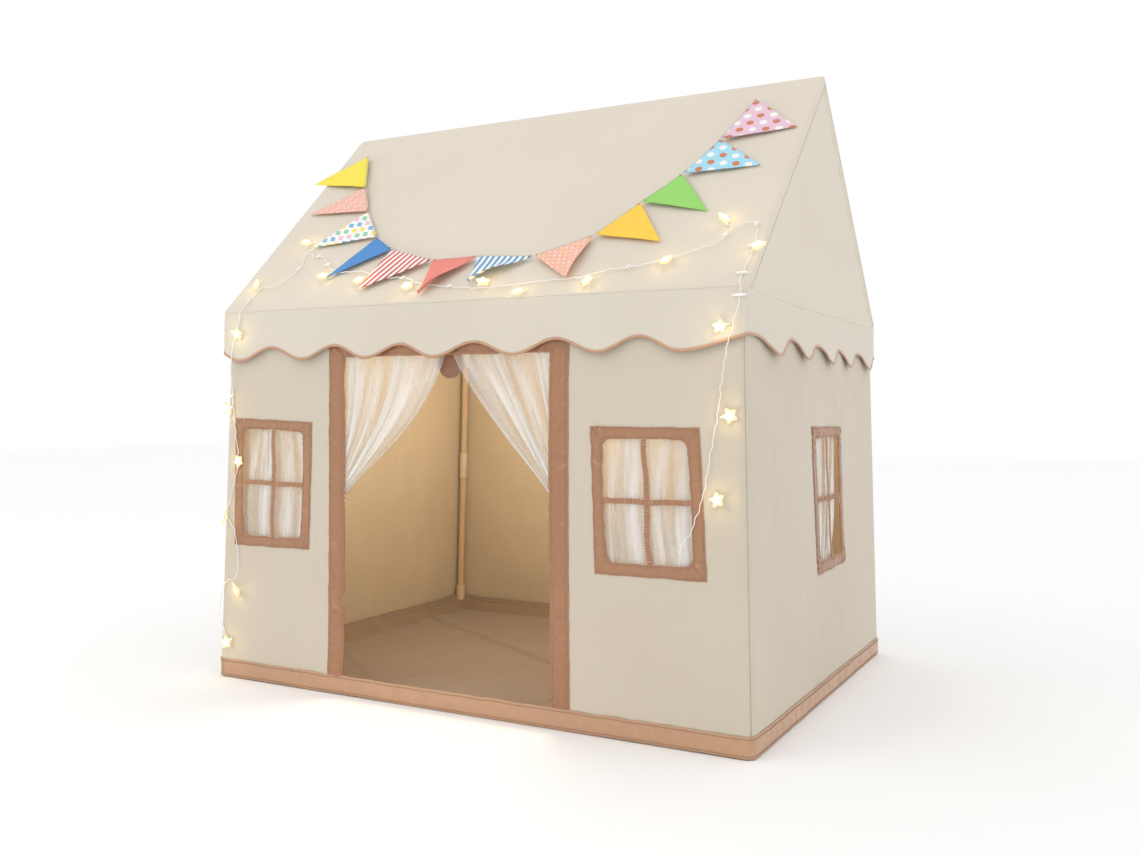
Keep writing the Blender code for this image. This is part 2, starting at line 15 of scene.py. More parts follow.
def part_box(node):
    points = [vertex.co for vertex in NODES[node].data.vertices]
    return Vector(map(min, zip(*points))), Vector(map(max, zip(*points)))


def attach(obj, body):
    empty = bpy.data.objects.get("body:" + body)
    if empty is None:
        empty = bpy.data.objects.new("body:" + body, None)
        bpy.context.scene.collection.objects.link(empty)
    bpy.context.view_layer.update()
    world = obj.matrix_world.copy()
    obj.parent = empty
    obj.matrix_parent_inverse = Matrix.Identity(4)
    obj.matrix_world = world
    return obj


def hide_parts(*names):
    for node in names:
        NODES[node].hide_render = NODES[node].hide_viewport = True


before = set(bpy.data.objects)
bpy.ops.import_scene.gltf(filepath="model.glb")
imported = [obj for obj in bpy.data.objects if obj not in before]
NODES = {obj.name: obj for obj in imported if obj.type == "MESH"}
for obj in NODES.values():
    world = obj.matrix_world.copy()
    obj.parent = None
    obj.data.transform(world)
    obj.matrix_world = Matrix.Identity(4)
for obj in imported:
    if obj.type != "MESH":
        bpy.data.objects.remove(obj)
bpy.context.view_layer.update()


# ---- Sizes, from the frame and a few of its driving dimensions ----
EAVE_Z = 0.845
EAVE_HALF_X = 0.624
EAVE_HALF_Y = 0.489
MIDDLE_DEPTH = 0.0110
HEM_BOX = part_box("base_hem")
ROOF_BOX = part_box("roof_cover")
BASE_HALF_X = HEM_BOX[1].x
BASE_HALF_Y = HEM_BOX[1].y
HEM_TOP = HEM_BOX[1].z
ROOF_HALF_X = ROOF_BOX[1].x
ROOF_HALF_Y = ROOF_BOX[1].y
RIDGE_Z = ROOF_BOX[1].z
WALL_TOP = 0.846
CLOTH = 0.0012
CORNER = 0.018
ROOF_ROUND = 0.007
RAKE_HEM = 0.021

DOOR_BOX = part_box("door_trim")
DOOR_TRIM = 0.042
DOOR_LEFT = DOOR_BOX[0].x + DOOR_TRIM
DOOR_RIGHT = DOOR_BOX[1].x - DOOR_TRIM
DOOR_TOP = DOOR_BOX[1].z - DOOR_TRIM
# Where the tied curtains pull on the wall beside the door, and how high they are tied.
DOOR_PULL_Z = 0.47
TIE_UP = 0.428
CURTAIN_TOP = 0.765
WINDOW_TRIM = 0.0245
MUNTIN = 0.012


def window_place(name, wall, corners):
    """A window's middle and the half sizes of its opening in its wall. corners says how far each
    outer corner is pulled out of square: top left, top right, bottom left, bottom right."""
    low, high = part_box(f"window_frame_{name}")
    across = 0 if wall == "front" else 1
    middle = ((low[across] + high[across]) / 2, (low.z + high.z) / 2)
    half = ((high[across] - low[across]) / 2 - WINDOW_TRIM, (high.z - low.z) / 2 - WINDOW_TRIM)
    return {"wall": wall, "middle": middle, "half": half, "corners": corners}


WINDOWS = {
    "front_left": window_place(
        "front_left", "front", [(-0.001, 0.0045), (0.003, -0.0045), (0.001, -0.001), (-0.003, 0.0)]),
    "front_right": window_place(
        "front_right", "front", [(-0.007, -0.0005), (-0.0085, 0.0005), (0.007, -0.002), (0.0085, 0.002)]),
    "right": window_place(
        "right", "right", [(-0.013, 0.0), (-0.0065, 0.0), (0.013, 0.0), (0.0065, 0.0)]),
}

# The valance hangs in lobes. These are their low points, measured round the roof from its
# front left corner; the rest of the way round they are evenly spaced.
FRONT_LOBES = [0.054, 0.239, 0.415, 0.591, 0.783, 0.969, 1.137]
SIDE_LOBES = [1.442, 1.633, 1.830, 1.986, 2.185]
VALANCE_LOW = 0.7315
VALANCE_WAVE = 0.0140

STRING_HEIGHT = 0.0090
# Where the bunting string is pinned along the roof slope, as (x, distance up from the eave).
STRING_KNOTS = [
    (-0.548, 0.609), (-0.471, 0.457), (-0.401, 0.347), (-0.313, 0.235), (-0.241, 0.182),
    (-0.105, 0.130), (0.009, 0.132), (0.151, 0.118), (0.269, 0.174), (0.340, 0.275),
    (0.405, 0.365), (0.457, 0.482), (0.499, 0.632),
]
PENNANT_SIDE_GAP = 0.003
CORD_LIFT = 0.0042
CORD_DIAMETER = 0.0026


# ---- Number helpers ----
def smooth(low, high, value):
    """0 below low, 1 above high, and smooth between."""
    share = np.clip((np.asarray(value, float) - low) / (high - low), 0, 1)
    return share * share * (3 - 2 * share)


def ripples(x, y, seed, wavelength):
    """A smooth uneven height from about -1 to 1, the same for the same seed."""
    waves = 7
    draw = random.Random(seed)
    total = np.zeros(np.broadcast(x, y).shape)
    for _ in range(waves):
        turn = draw.uniform(0, math.pi)
        size = wavelength * draw.uniform(0.65, 1.6)
        along = x * math.cos(turn) + y * math.sin(turn)
        total = total + np.cos(along * 2 * math.pi / size + draw.uniform(0, 2 * math.pi))
    return total / math.sqrt(waves * 2)


def lines(step, *stops):
    """Values through every stop, never more than a step apart."""
    made = [stops[0]]
    for second in stops[1:]:
        first = made[-1]
        if second - first < 0.00001:
            continue
        count = math.ceil((second - first) / step)
        made += [first + (second - first) * k / count for k in range(1, count + 1)]
    return np.array(made)


def lengths_along(points):
    steps = np.linalg.norm(np.diff(points, axis=0), axis=1)
    return np.concatenate([[0.0], np.cumsum(steps)])


def resampled(points, step):
    """The same open line with even steps of about this length."""
    points = np.asarray(points, float)
    run = lengths_along(points)
    count = max(2, round(run[-1] / step) + 1)
    wanted = np.linspace(0, run[-1], count)
    return np.stack([np.interp(wanted, run, points[:, k]) for k in range(points.shape[1])], -1)


def unit(vectors):
    return vectors / np.maximum(np.linalg.norm(vectors, axis=-1, keepdims=True), 1e-12)


def moved(matrix, points):
    m = np.array(matrix)
    return points @ m[:3, :3].T + m[:3, 3]


# ---- The surfaces that pieces lie on ----
def frame_matrix(origin, right, up):
    right = Vector(right).normalized()
    up = Vector(up).normalized()
    turn = Matrix((right, up, right.cross(up))).transposed()
    return Matrix.Translation(origin) @ turn.to_4x4()


LEAN_X = BASE_HALF_X - EAVE_HALF_X
LEAN_Y = BASE_HALF_Y - EAVE_HALF_Y
# Each wall's plane: x to the right as seen from outside, y up the wall, z outwards.
WALLS = {
    "front": frame_matrix((0, -BASE_HALF_Y, 0), (1, 0, 0), (0, LEAN_Y, EAVE_Z)),
    "back": frame_matrix((0, BASE_HALF_Y, 0), (-1, 0, 0), (0, -LEAN_Y, EAVE_Z)),
    "right": frame_matrix((BASE_HALF_X, 0, 0), (0, 1, 0), (-LEAN_X, 0, EAVE_Z)),
    "left": frame_matrix((-BASE_HALF_X, 0, 0), (0, -1, 0), (LEAN_X, 0, EAVE_Z)),
}
WALL_HALF = {
    "front": (BASE_HALF_X, EAVE_HALF_X), "back": (BASE_HALF_X, EAVE_HALF_X),
    "right": (BASE_HALF_Y, EAVE_HALF_Y), "left": (BASE_HALF_Y, EAVE_HALF_Y),
}
SLOPE = frame_matrix((0, -ROOF_HALF_Y, EAVE_Z), (1, 0, 0), (0, ROOF_HALF_Y, RIDGE_Z - EAVE_Z))
SLOPE_OUT = np.array(SLOPE)[:3, 2]
SLOPE_UP = np.array(SLOPE)[:3, 1]
FRONT_OUT = np.array([0.0, -1.0, 0.0])


def straight_half(wall, up):
    """Half the straight run of a wall, before its rounded corners begin."""
    base, eave = WALL_HALF[wall]
    return base + (eave - base) * up / EAVE_Z - CORNER


def warped(wall, x, up):
    """Pulls each window, the door's jambs and the cloth close round them a little out of square."""
    moved_x, moved_up = x, up
    for window in WINDOWS.values():
        if window["wall"] != wall:
            continue
        middle_x, middle_up = window["middle"]
        half_x = window["half"][0] + WINDOW_TRIM
        half_up = window["half"][1] + WINDOW_TRIM
        near = 1 - smooth(half_x + 0.002, half_x + 0.045, np.abs(x - middle_x))
        near = near * (1 - smooth(half_up + 0.005, half_up + 0.090, np.abs(up - middle_up)))
        right = (1 + np.clip((x - middle_x) / half_x, -1, 1)) / 2
        above = (1 + np.clip((up - middle_up) / half_up, -1, 1)) / 2
        shares = (above * (1 - right), above * right, (1 - above) * (1 - right), (1 - above) * right)
        moved_x = moved_x + near * sum(s * c[0] for s, c in zip(shares, window["corners"]))
        moved_up = moved_up + near * sum(s * c[1] for s, c in zip(shares, window["corners"]))
    if wall == "front":
        low = 1 - smooth(DOOR_TOP + 0.02, DOOR_TOP + 0.09, up)
        left_bend = 0.0038 - 0.0088 * up
        right_bend = 0.008 - 0.040 * up + 0.031 * up * up
        for jamb, bend in ((DOOR_LEFT, left_bend), (DOOR_RIGHT, right_bend)):
            moved_x = moved_x + bend * low * (1 - smooth(0.046, 0.086, np.abs(x - jamb)))
    return moved_x, moved_up


def pull_folds(wall, x, up):
    """Short folds that fan out from the corners of each window and of the door."""
    corners = []
    for window in WINDOWS.values():
        if window["wall"] == wall:
            (mx, my), (hx, hy) = window["middle"], window["half"]
            hx, hy = hx + WINDOW_TRIM, hy + WINDOW_TRIM
            corners += [(mx + sx * hx, my + sy * hy) for sx in (-1, 1) for sy in (-1, 1)]
    if wall == "front":
        corners += [(DOOR_LEFT - DOOR_TRIM, DOOR_PULL_Z), (DOOR_RIGHT + DOOR_TRIM, DOOR_PULL_Z)]
    total = np.zeros(np.broadcast(x, up).shape)
    for index, (cx, cy) in enumerate(corners):
        reach = np.hypot(x - cx, up - cy)
        angle = np.arctan2(up - cy, x - cx)
        total = total + np.exp(-((reach - 0.022) / 0.030) ** 2) * np.cos(7 * angle + 1.3 * index)
    return total


def sag(wall, x, up):
    """How far a wall's cloth stands out from its plane."""
    seed = {"front": 11, "right": 12, "back": 13, "left": 14}[wall]
    edge = straight_half(wall, up)
    free = smooth(0, 0.13, edge - np.abs(x)) * smooth(HEM_TOP, HEM_TOP + 0.10, up)
    free = free * (1 - smooth(EAVE_Z - 0.13, EAVE_Z - 0.02, up))
    slack = 0.0030 * ripples(x, up, seed, 0.42) + 0.0011 * ripples(x * 1.6, up * 0.55, seed + 20, 0.12)
    slack = (slack - 0.0022 + 0.0011 * pull_folds(wall, x, up)) * free
    deepest, softness = -0.0036, 0.0006
    slack = deepest + softness * np.logaddexp(0, (slack - deepest) / softness)
    gathers = np.exp(-(up - HEM_TOP) / 0.020) * 0.0005 * ripples(x, 0 * x, seed + 40, 0.030)
    seam = -0.0014 * np.exp(-(np.maximum(edge + CORNER * math.pi / 4 - np.abs(x), 0) / 0.0016) ** 2)
    return np.minimum(slack + gathers, 0.0014) + seam


def on_wall(wall, x, up, out=0.0):
    """World points for places on a wall's cloth, which wraps half way round its corners."""
    x, up, out = np.broadcast_arrays(np.asarray(x, float), np.asarray(up, float), np.asarray(out, float))
    straight = straight_half(wall, up)
    turn = np.clip((np.abs(x) - straight) / CORNER, 0, math.pi / 4)
    round_x = np.sign(x) * (straight + (CORNER + out) * np.sin(turn))
    flat_x = np.where(turn > 0, round_x, x)
    depth = (CORNER + out) * np.cos(turn) - CORNER
    return moved(WALLS[wall], np.stack([flat_x, up, depth], -1))


def on_cloth(wall, x, up, out=0.0):
    """World points at a height above a wall's sagging cloth."""
    x, up = np.broadcast_arrays(np.asarray(x, float), np.asarray(up, float))
    x, up = warped(wall, x, up)
    return on_wall(wall, x, up, sag(wall, x, up) + out)


def slope_sag(x, up):
    """How far the roof's cloth stands out from the slope."""
    free = smooth(0, 0.10, up) * (1 - smooth(0.60, 0.70, up)) * smooth(0, 0.08, ROOF_HALF_X - np.abs(x))
    slack = 0.0022 * ripples(x, up, 31, 0.50) + 0.0008 * ripples(x * 1.3, up * 0.5, 32, 0.13) - 0.0016
    gathers = np.exp(-np.abs(up) / 0.028) * 0.0007 * ripples(x, up * 0.2, 33, 0.034)
    return np.minimum(slack * free + gathers, 0.0015)


# ---- Mesh helpers ----
STITCH_PITCH = 0.0042
STITCH_LENGTH = 0.0029


class Skin:
    """Collects grids, tubes and dashes into one mesh."""

    def __init__(self):
        self.points = []
        self.marks = []
        self.faces = []
        self.paints = []
        self.count = 0

    def _add(self, points, faces, paint, marks=None):
        self.points.append(points.reshape(-1, 3))
        self.marks.append(np.zeros((len(self.points[-1]), 2)) if marks is None else marks)
        self.faces += (np.asarray(faces) + self.count).tolist()
        self.paints += [paint] * len(faces)
        self.count += len(self.points[-1])

    def grid(self, points, keep=None, paint=0, closed=False, turned=False, marks=None):
        """Rows and columns of points as quads. A closed grid joins its last column to its first.
        marks are each point's distances along and across its cloth, which the weave follows."""
        rows, columns = points.shape[:2]
        index = np.arange(rows * columns).reshape(rows, columns)
        if closed:
            index = np.concatenate([index, index[:, :1]], axis=1)
        quads = np.stack([index[:-1, :-1], index[:-1, 1:], index[1:, 1:], index[1:, :-1]], -1)
        quads = quads[keep] if keep is not None else quads.reshape(-1, 4)
        if turned:
            quads = quads[:, ::-1]
        used = np.unique(quads)
        fresh = np.full(rows * columns, -1)
        fresh[used] = np.arange(len(used))
        if marks is not None:
            marks = np.stack(np.broadcast_arrays(*marks, points[..., 0])[:2], -1).reshape(-1, 2)[used]
        self._add(points.reshape(-1, 3)[used], fresh[quads], paint, marks)

    def tube(self, path, side, up, half_wide, half_high, sides=12, paint=0, caps=True):
        """An oval tube along a path. side and up are its cross directions, the same all along or
        one for each point."""
        path = np.asarray(path, float)
        side = np.broadcast_to(np.asarray(side, float), path.shape)
        up = np.broadcast_to(np.asarray(up, float), path.shape)
        angle = np.linspace(0, 2 * math.pi, sides, endpoint=False)
        wide = np.broadcast_to(half_wide, len(path))[:, None, None]
        high = np.broadcast_to(half_high, len(path))[:, None, None]
        ring = side[:, None] * wide * np.cos(angle)[None, :, None]
        ring = ring + up[:, None] * high * np.sin(angle)[None, :, None]
        start = self.count
        self.grid(
            path[:, None] + ring, paint=paint, closed=True,
            marks=(lengths_along(path)[:, None], 0.0015 * angle[None]),
        )
        if caps:
            last = start + (len(path) - 1) * sides
            self.faces.append([start + k for k in range(sides)][::-1])
            self.faces.append([last + k for k in range(sides)])
            self.paints += [paint, paint]

    def dashes(self, path, normals, radius=0.00036, paint=0):
        """A row of stitches along a path, each a short raised thread. normals is the way out, the
        same all along or one for each point."""
        normals = np.broadcast_to(np.asarray(normals, float), path.shape)
        length = STITCH_LENGTH
        run = lengths_along(path)
        count = int(run[-1] / STITCH_PITCH)
        if count < 1:
            return
        middle = (np.arange(count) + 0.5) * run[-1] / count
        pick = lambda values, at: np.stack([np.interp(at, run, values[:, k]) for k in range(3)], -1)
        centre = pick(path, middle)
        along = unit(pick(path, middle + length / 2) - pick(path, middle - length / 2))
        out = unit(pick(normals, middle))
        across = np.cross(out, along)
        corners = []
        for end, lift in ((-0.5, 0.0), (0.0, 1.0), (0.5, 0.0)):
            for a, o in ((-1, -0.6), (1, -0.6), (0.7, 1), (-0.7, 1)):
                place = centre + along * length * end + across * radius * a
                corners.append(place + out * radius * (o + 0.5 * lift))
        box = np.stack(corners, 1)
        pattern = []
        for ring in (0, 4):
            for k in range(4):
                n = (k + 1) % 4
                pattern.append([ring + k, ring + n, ring + 4 + n, ring + 4 + k])
        pattern += [[3, 2, 1, 0], [8, 9, 10, 11]]
        faces = (np.arange(count)[:, None, None] * 12 + np.array(pattern)[None]).reshape(-1, 4)
        self._add(box, faces, paint)

    def build(self, name, *materials):
        mesh = bpy.data.meshes.new(name)
        mesh.from_pydata(np.concatenate(self.points).tolist(), [], self.faces)
        for material in materials:
            mesh.materials.append(material)
        mesh.polygons.foreach_set("material_index", self.paints)
        corners = np.zeros(len(mesh.loops), dtype=np.int32)
        mesh.loops.foreach_get("vertex_index", corners)
        mesh.uv_layers.new(name="marks").data.foreach_set("uv", np.concatenate(self.marks)[corners].ravel())
        mesh.shade_smooth()
        mesh.update()
        made = bpy.data.objects.new(name, mesh)
        bpy.context.scene.collection.objects.link(made)
        return made


def thickened(piece, thickness=CLOTH, inside=0):
    """Gives a sheet its thickness, inwards, with another material on its inner face if asked."""
    step = piece.modifiers.new("thickness", "SOLIDIFY")
    step.thickness = thickness
    step.offset = -1
    step.material_offset = inside
    step.material_offset_rim = 0
    return piece


def placed(piece, body="tent", nodes=()):
    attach(piece, body)
    if nodes:
        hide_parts(*nodes)
    return piece


# ---- Camera ----
CAMERA_PLACE = (1.2603, -2.3379, 0.6172)
# How far the camera is turned from facing +Y, looks down and rolls, in degrees.
CAMERA_TURN = (28.1156, 0.8168, 0.2749)
CAMERA_LENS = 34.25


def make_camera():
    """From the front right, a little above the door's middle, as the tent is usually shown."""
    azimuth, down, roll = (math.radians(angle) for angle in CAMERA_TURN)
    level = Vector((math.cos(azimuth), math.sin(azimuth), 0))
    ahead = Vector((-math.sin(azimuth), math.cos(azimuth), 0))
    forward = ahead * math.cos(down) - Vector((0, 0, math.sin(down)))
    above = level.cross(forward)
    right = level * math.cos(roll) + above * math.sin(roll)
    top = above * math.cos(roll) - level * math.sin(roll)
    data = bpy.data.cameras.new("camera")
    data.sensor_width = 36.0
    data.lens = CAMERA_LENS
    data.clip_end = 100
    camera = bpy.data.objects.new("camera", data)
    bpy.context.scene.collection.objects.link(camera)
    turn = Matrix((right, top, -forward)).transposed()
    camera.matrix_world = Matrix.Translation(CAMERA_PLACE) @ turn.to_4x4()
    bpy.context.scene.camera = camera


# ---- Materials ----
class Paint:
    """A material, with short ways to add the nodes that most of them use."""

    def __init__(self, name, roughness, sheen=0.0, sheen_roughness=0.5, specular=0.5):
        self.material = bpy.data.materials.new(name)
        self.material.use_nodes = True
        self.nodes = self.material.node_tree.nodes
        self.links = self.material.node_tree.links
        self.shader = self.nodes["Principled BSDF"]
        self.shader.inputs["Roughness"].default_value = roughness
        self.shader.inputs["Sheen Weight"].default_value = sheen
        self.shader.inputs["Sheen Roughness"].default_value = sheen_roughness
        self.shader.inputs["Specular IOR Level"].default_value = specular
        coordinates = self.node("TexCoord")
        self.place = coordinates.outputs["Object"]
        self.marks = coordinates.outputs["UV"]

    def node(self, kind, settings=None, **inputs):
        made = self.nodes.new("ShaderNode" + kind)
        for key, value in (settings or {}).items():
            setattr(made, key, value)
        for key, value in inputs.items():
            self.feed(made.inputs[key], value)
        return made

    def feed(self, socket, value):
        if isinstance(value, bpy.types.NodeSocket):
            self.links.new(value, socket)
        elif hasattr(socket.default_value, "__len__") and len(socket.default_value) == 4 and len(value) == 3:
            socket.default_value = (*value, 1.0)
        else:
            socket.default_value = value

    def maths(self, operation, first, second=0.0):
        made = self.node("Math", {"operation": operation})
        for socket, value in zip(made.inputs, (first, second)):
            self.feed(socket, value)
        return made.outputs[0]

    def total(self, *values):
        result = values[0]
        for value in values[1:]:
            result = self.maths("ADD", result, value)
        return result

    def times(self, first, second):
        return self.maths("MULTIPLY", first, second)

    def scaled(self, x, y, z, turn=(0, 0, 0), place=None):
        """The place coordinates, turned and then stretched."""
        made = self.node("Mapping", Vector=place or self.place, Scale=(x, y, z), Rotation=turn)
        return made.outputs[0]

    def noise(self, scale, detail=3.0, roughness=0.55, place=None):
        made = self.node(
            "TexNoise", Vector=place or self.place, Scale=scale, Detail=detail, Roughness=roughness,
        )
        return made.outputs[0]

    def streaks(self, x, y, z, detail=2.0, roughness=0.55, turn=(0, 0, 0), place=None):
        """Noise drawn out along the axes with the smaller numbers."""
        return self.noise(1.0, detail, roughness, self.scaled(x, y, z, turn, place))

    def between(self, value, low, high, first=0.0, last=1.0):
        made = self.node("MapRange", Value=value)
        for index, number in ((1, low), (2, high), (3, first), (4, last)):
            made.inputs[index].default_value = number
        return made.outputs[0]

    def mix(self, share, first, second, blend="MIX"):
        made = self.node("Mix", {"data_type": "RGBA", "blend_type": blend})
        self.feed(made.inputs[0], share)
        self.feed(made.inputs[6], first)
        self.feed(made.inputs[7], second)
        return made.outputs[2]

    def axes(self, place=None):
        return self.node("SeparateXYZ", Vector=place or self.place).outputs

    def wave(self, value, pitch):
        """A sine from -1 to 1 along a length."""
        return self.maths("SINE", self.times(value, 2 * math.pi / pitch))

    def weave(self, pitch):
        """The over and under of a plain weave, the same on every wall and slope."""
        x, y, z = self.axes()
        warp = self.wave(self.total(x, y), pitch)
        weft = self.wave(z, pitch)
        return self.times(warp, weft)

    def colour(self, value):
        self.feed(self.shader.inputs["Base Color"], value)

    def rough(self, value):
        self.feed(self.shader.inputs["Roughness"], value)

    def bump(self, height, distance, strength=1.0):
        made = self.node("Bump", Height=height, Distance=distance, Strength=strength)
        old = self.shader.inputs["Normal"].links
        if old:
            self.links.new(old[0].from_socket, made.inputs["Normal"])
        self.links.new(made.outputs[0], self.shader.inputs["Normal"])


# The pitch of the cloth's threads and the depth of its fine creases.
THREAD_PITCH = 0.0008
CRINKLE = 0.0005


def tint(colour, factor):
    return tuple(min(1.0, part * factor) for part in colour)


def cloth(name, colour, warm, roughness=0.78, sheen=0.15):
    """Plain woven cloth: threads with slubs, slow changes of tone and fine creases."""
    paint = Paint(name, roughness, sheen=sheen, sheen_roughness=0.45)
    slow = paint.noise(2.6, 3.0)
    slubs = paint.streaks(34, 34, 900)
    cross = paint.streaks(900, 900, 34)
    threads = paint.total(slubs, cross)
    base = paint.mix(paint.between(slow, 0.32, 0.68), colour, warm)
    base = paint.mix(paint.between(threads, 0.75, 1.25, 0.0, 0.30), base, tint(colour, 0.88))
    base = paint.mix(paint.between(paint.noise(420.0, 2.0), 0.50, 0.72, 0.0, 0.25), base, tint(colour, 1.08))
    paint.colour(base)
    paint.rough(paint.between(threads, 0.7, 1.3, roughness - 0.06, roughness + 0.06))
    paint.bump(paint.noise(11.0, 4.0, 0.5), 5 * CRINKLE, 0.5)
    paint.bump(paint.streaks(60, 60, 22, 3.0), CRINKLE, 0.55)
    paint.bump(paint.total(paint.weave(THREAD_PITCH), paint.times(threads, 1.6)), 0.00006, 0.6)
    return paint.material


def satin(name, colour, painted_shade, light, pitch=0.013, ruched=0.0):
    """The brown binding: a smooth cloth with painted highlights on the crests of its puckers across its
    length, and painted shade in their troughs and along its creases.
    """
    paint = Paint(name, 0.36, sheen=0.35, sheen_roughness=0.30, specular=0.60)
    slow = paint.noise(5.0, 3.0)
    fine = paint.streaks(260, 260, 700)
    pucker = paint.streaks(1 / pitch, 26, 1, 2.0, 0.45, place=paint.marks)
    crease = paint.streaks(42, 9, 1, 3.0, 0.5, place=paint.marks)
    along = paint.axes(paint.marks)[0]
    # On a ruched bar the puckers follow its gathers, so its painted highlights and shade run in stripes.
    if ruched:
        pucker = paint.total(pucker, paint.times(paint.wave(along, pitch), ruched))
    base = paint.mix(paint.between(slow, 0.35, 0.68), colour, tint(colour, 0.92))
    # Painted shade in the troughs of the puckers and along the creases.
    base = paint.mix(paint.between(pucker, 0.42, 0.24, 0.0, 0.35), base, painted_shade)
    base = paint.mix(paint.between(crease, 0.42, 0.28, 0.0, 0.25), base, painted_shade)
    # Painted highlights on the pucker crests, in the light colour.
    base = paint.mix(paint.between(pucker, 0.62, 0.84, 0.0, 0.42), base, light)
    base = paint.mix(paint.between(fine, 0.42, 0.70, 0.0, 0.20), base, tint(colour, 1.15))
    paint.colour(base)
    paint.rough(paint.between(paint.noise(48.0), 0.35, 0.68, 0.32, 0.46))
    paint.bump(pucker, 0.0018, 0.6)
    paint.bump(crease, 0.0030, 0.5)
    paint.bump(paint.noise(55.0, 3.0, 0.5), 0.0008, 0.4)
    paint.bump(paint.wave(paint.total(*paint.axes()), 0.0009), 0.00005, 0.6)
    return paint.material


def sheer(name, dotted, folds):
    """Thin white voile, denser where it folds over itself and see-through between. Its folds run
    the way that its marks' second number grows. The window ones have small woven dots."""
    paint = Paint(name, 0.85, sheen=0.20, sheen_roughness=0.30)
    broad = paint.streaks(folds, 0.55, 1, 2.0, 0.4, place=paint.marks)
    narrow = paint.streaks(folds * 2.1, 0.7, 1, 2.0, 0.5, place=paint.marks)
    threads = paint.streaks(700, 700, 90)
    along = paint.axes(paint.marks)[1]
    cover = paint.total(
        paint.between(broad, 0.36, 0.62, 0.20, 0.60),
        paint.between(narrow, 0.34, 0.66, -0.18, 0.20),
        paint.between(threads, 0.30, 0.70, -0.05, 0.05),
    )
    gap = paint.times(paint.between(narrow, 0.50, 0.60), paint.between(along, 0.34, 0.02))
    cover = paint.maths("SUBTRACT", cover, paint.times(gap, 0.42))
    # Painted highlights along the fold streaks, whiter, and painted shade between them, greyer.
    base = paint.mix(paint.between(narrow, 0.40, 0.62), (0.74, 0.73, 0.70), (0.89, 0.885, 0.87))
    if dotted:
        grid = paint.node("TexVoronoi", {"feature": "F1"}, Vector=paint.place, Scale=44.0, Randomness=0.45)
        spots = paint.between(grid.outputs["Distance"], 0.085, 0.055)
        cover = paint.total(cover, paint.times(spots, 0.30))
        paint.bump(spots, 0.0003, 0.6)
    paint.colour(base)
    paint.feed(paint.shader.inputs["Alpha"], paint.between(cover, 0.0, 1.0))
    paint.bump(threads, 0.00008, 0.5)
    return paint.material


def quilt(name):
    """The floor mat's brushed brown cloth."""
    colour = (0.235, 0.152, 0.084)
    paint = Paint(name, 0.92, sheen=0.30, sheen_roughness=0.5)
    slow = paint.noise(3.2, 3.0)
    pile = paint.streaks(210, 300, 300, 4.0)
    base = paint.mix(paint.between(slow, 0.3, 0.7), colour, tint(colour, 0.86))
    base = paint.mix(paint.between(pile, 0.40, 0.72, 0.0, 0.55), base, tint(colour, 1.22))
    paint.colour(base)
    paint.rough(paint.between(pile, 0.3, 0.7, 0.86, 0.97))
    paint.bump(paint.noise(9.0, 3.0), 0.004, 0.5)
    paint.bump(pile, 0.0004, 0.6)
    return paint.material


def wood(name, turn):
    """Light brown wood with its grain along the pole."""
    paint = Paint(name, 0.50, specular=0.4)
    grain = paint.streaks(90, 90, 3.0, 5.0, 0.6, turn)
    fine = paint.streaks(600, 600, 14, 2.0, 0.5, turn)
    base = paint.mix(paint.between(grain, 0.32, 0.68), (0.56, 0.385, 0.220), (0.47, 0.312, 0.172))
    base = paint.mix(paint.between(fine, 0.45, 0.70, 0.0, 0.5), base, (0.66, 0.46, 0.27))
    paint.colour(base)
    paint.rough(paint.between(grain, 0.3, 0.7, 0.42, 0.60))
    paint.bump(grain, 0.0004, 0.5)
    paint.bump(fine, 0.00012, 0.5)
    return paint.material


def moulded(name, colour, roughness):
    """Moulded plastic: a fine spark-eroded texture, slightly uneven gloss and a little grime."""
    paint = Paint(name, roughness, specular=0.5)
    slow = paint.noise(18.0, 3.0)
    pores = paint.noise(1400.0, 2.0)
    base = paint.mix(paint.between(slow, 0.35, 0.70), colour, tint(colour, 0.90))
    base = paint.mix(paint.between(pores, 0.55, 0.75, 0.0, 0.35), base, tint(colour, 0.80))
    paint.colour(base)
    paint.rough(paint.between(slow, 0.3, 0.7, roughness - 0.07, roughness + 0.09))
    paint.bump(pores, 0.00012, 0.6)
    paint.bump(slow, 0.0003, 0.3)
    return paint.material


def cotton(name, colour):
    """Twisted thread, as in stitches and the bunting string."""
    paint = Paint(name, 0.85, sheen=0.3, sheen_roughness=0.4)
    x, y, z = paint.axes()
    slanted = paint.total(x, paint.times(y, 1.7), paint.times(z, 1.7))
    twist = paint.wave(slanted, 0.0016)
    fuzz = paint.noise(900.0, 2.0)
    base = paint.mix(paint.between(twist, -1, 1, 0.0, 0.4), colour, tint(colour, 0.78))
    paint.colour(paint.mix(paint.between(fuzz, 0.4, 0.7, 0.0, 0.3), base, tint(colour, 1.1)))
    paint.bump(paint.total(twist, fuzz), 0.0002, 0.6)
    return paint.material


def glowing(name):
    """A frosted star lit from inside: nearly white in the middle and yellow towards its points."""
    paint = Paint(name, 0.35, specular=0.4)
    cloud = paint.noise(160.0, 3.0)
    x, y, _ = paint.axes()
    square = paint.total(paint.times(x, x), paint.times(y, y))
    reach = paint.maths("SQRT", square)
    rim = paint.between(reach, 0.004, 0.0135)
    paint.colour(paint.mix(rim, (0.70, 0.66, 0.52), (0.62, 0.53, 0.30)))
    warm = paint.mix(rim, (1.0, 0.95, 0.78), (1.0, 0.78, 0.34))
    warm = paint.mix(paint.between(cloud, 0.35, 0.65, 0.0, 0.25), warm, (1.0, 0.90, 0.55))
    paint.feed(paint.shader.inputs["Emission Color"], warm)
    paint.feed(paint.shader.inputs["Emission Strength"], paint.between(rim, 0.0, 1.0, 0.85, 0.50))
    paint.bump(cloud, 0.0004, 0.5)
    return paint.material


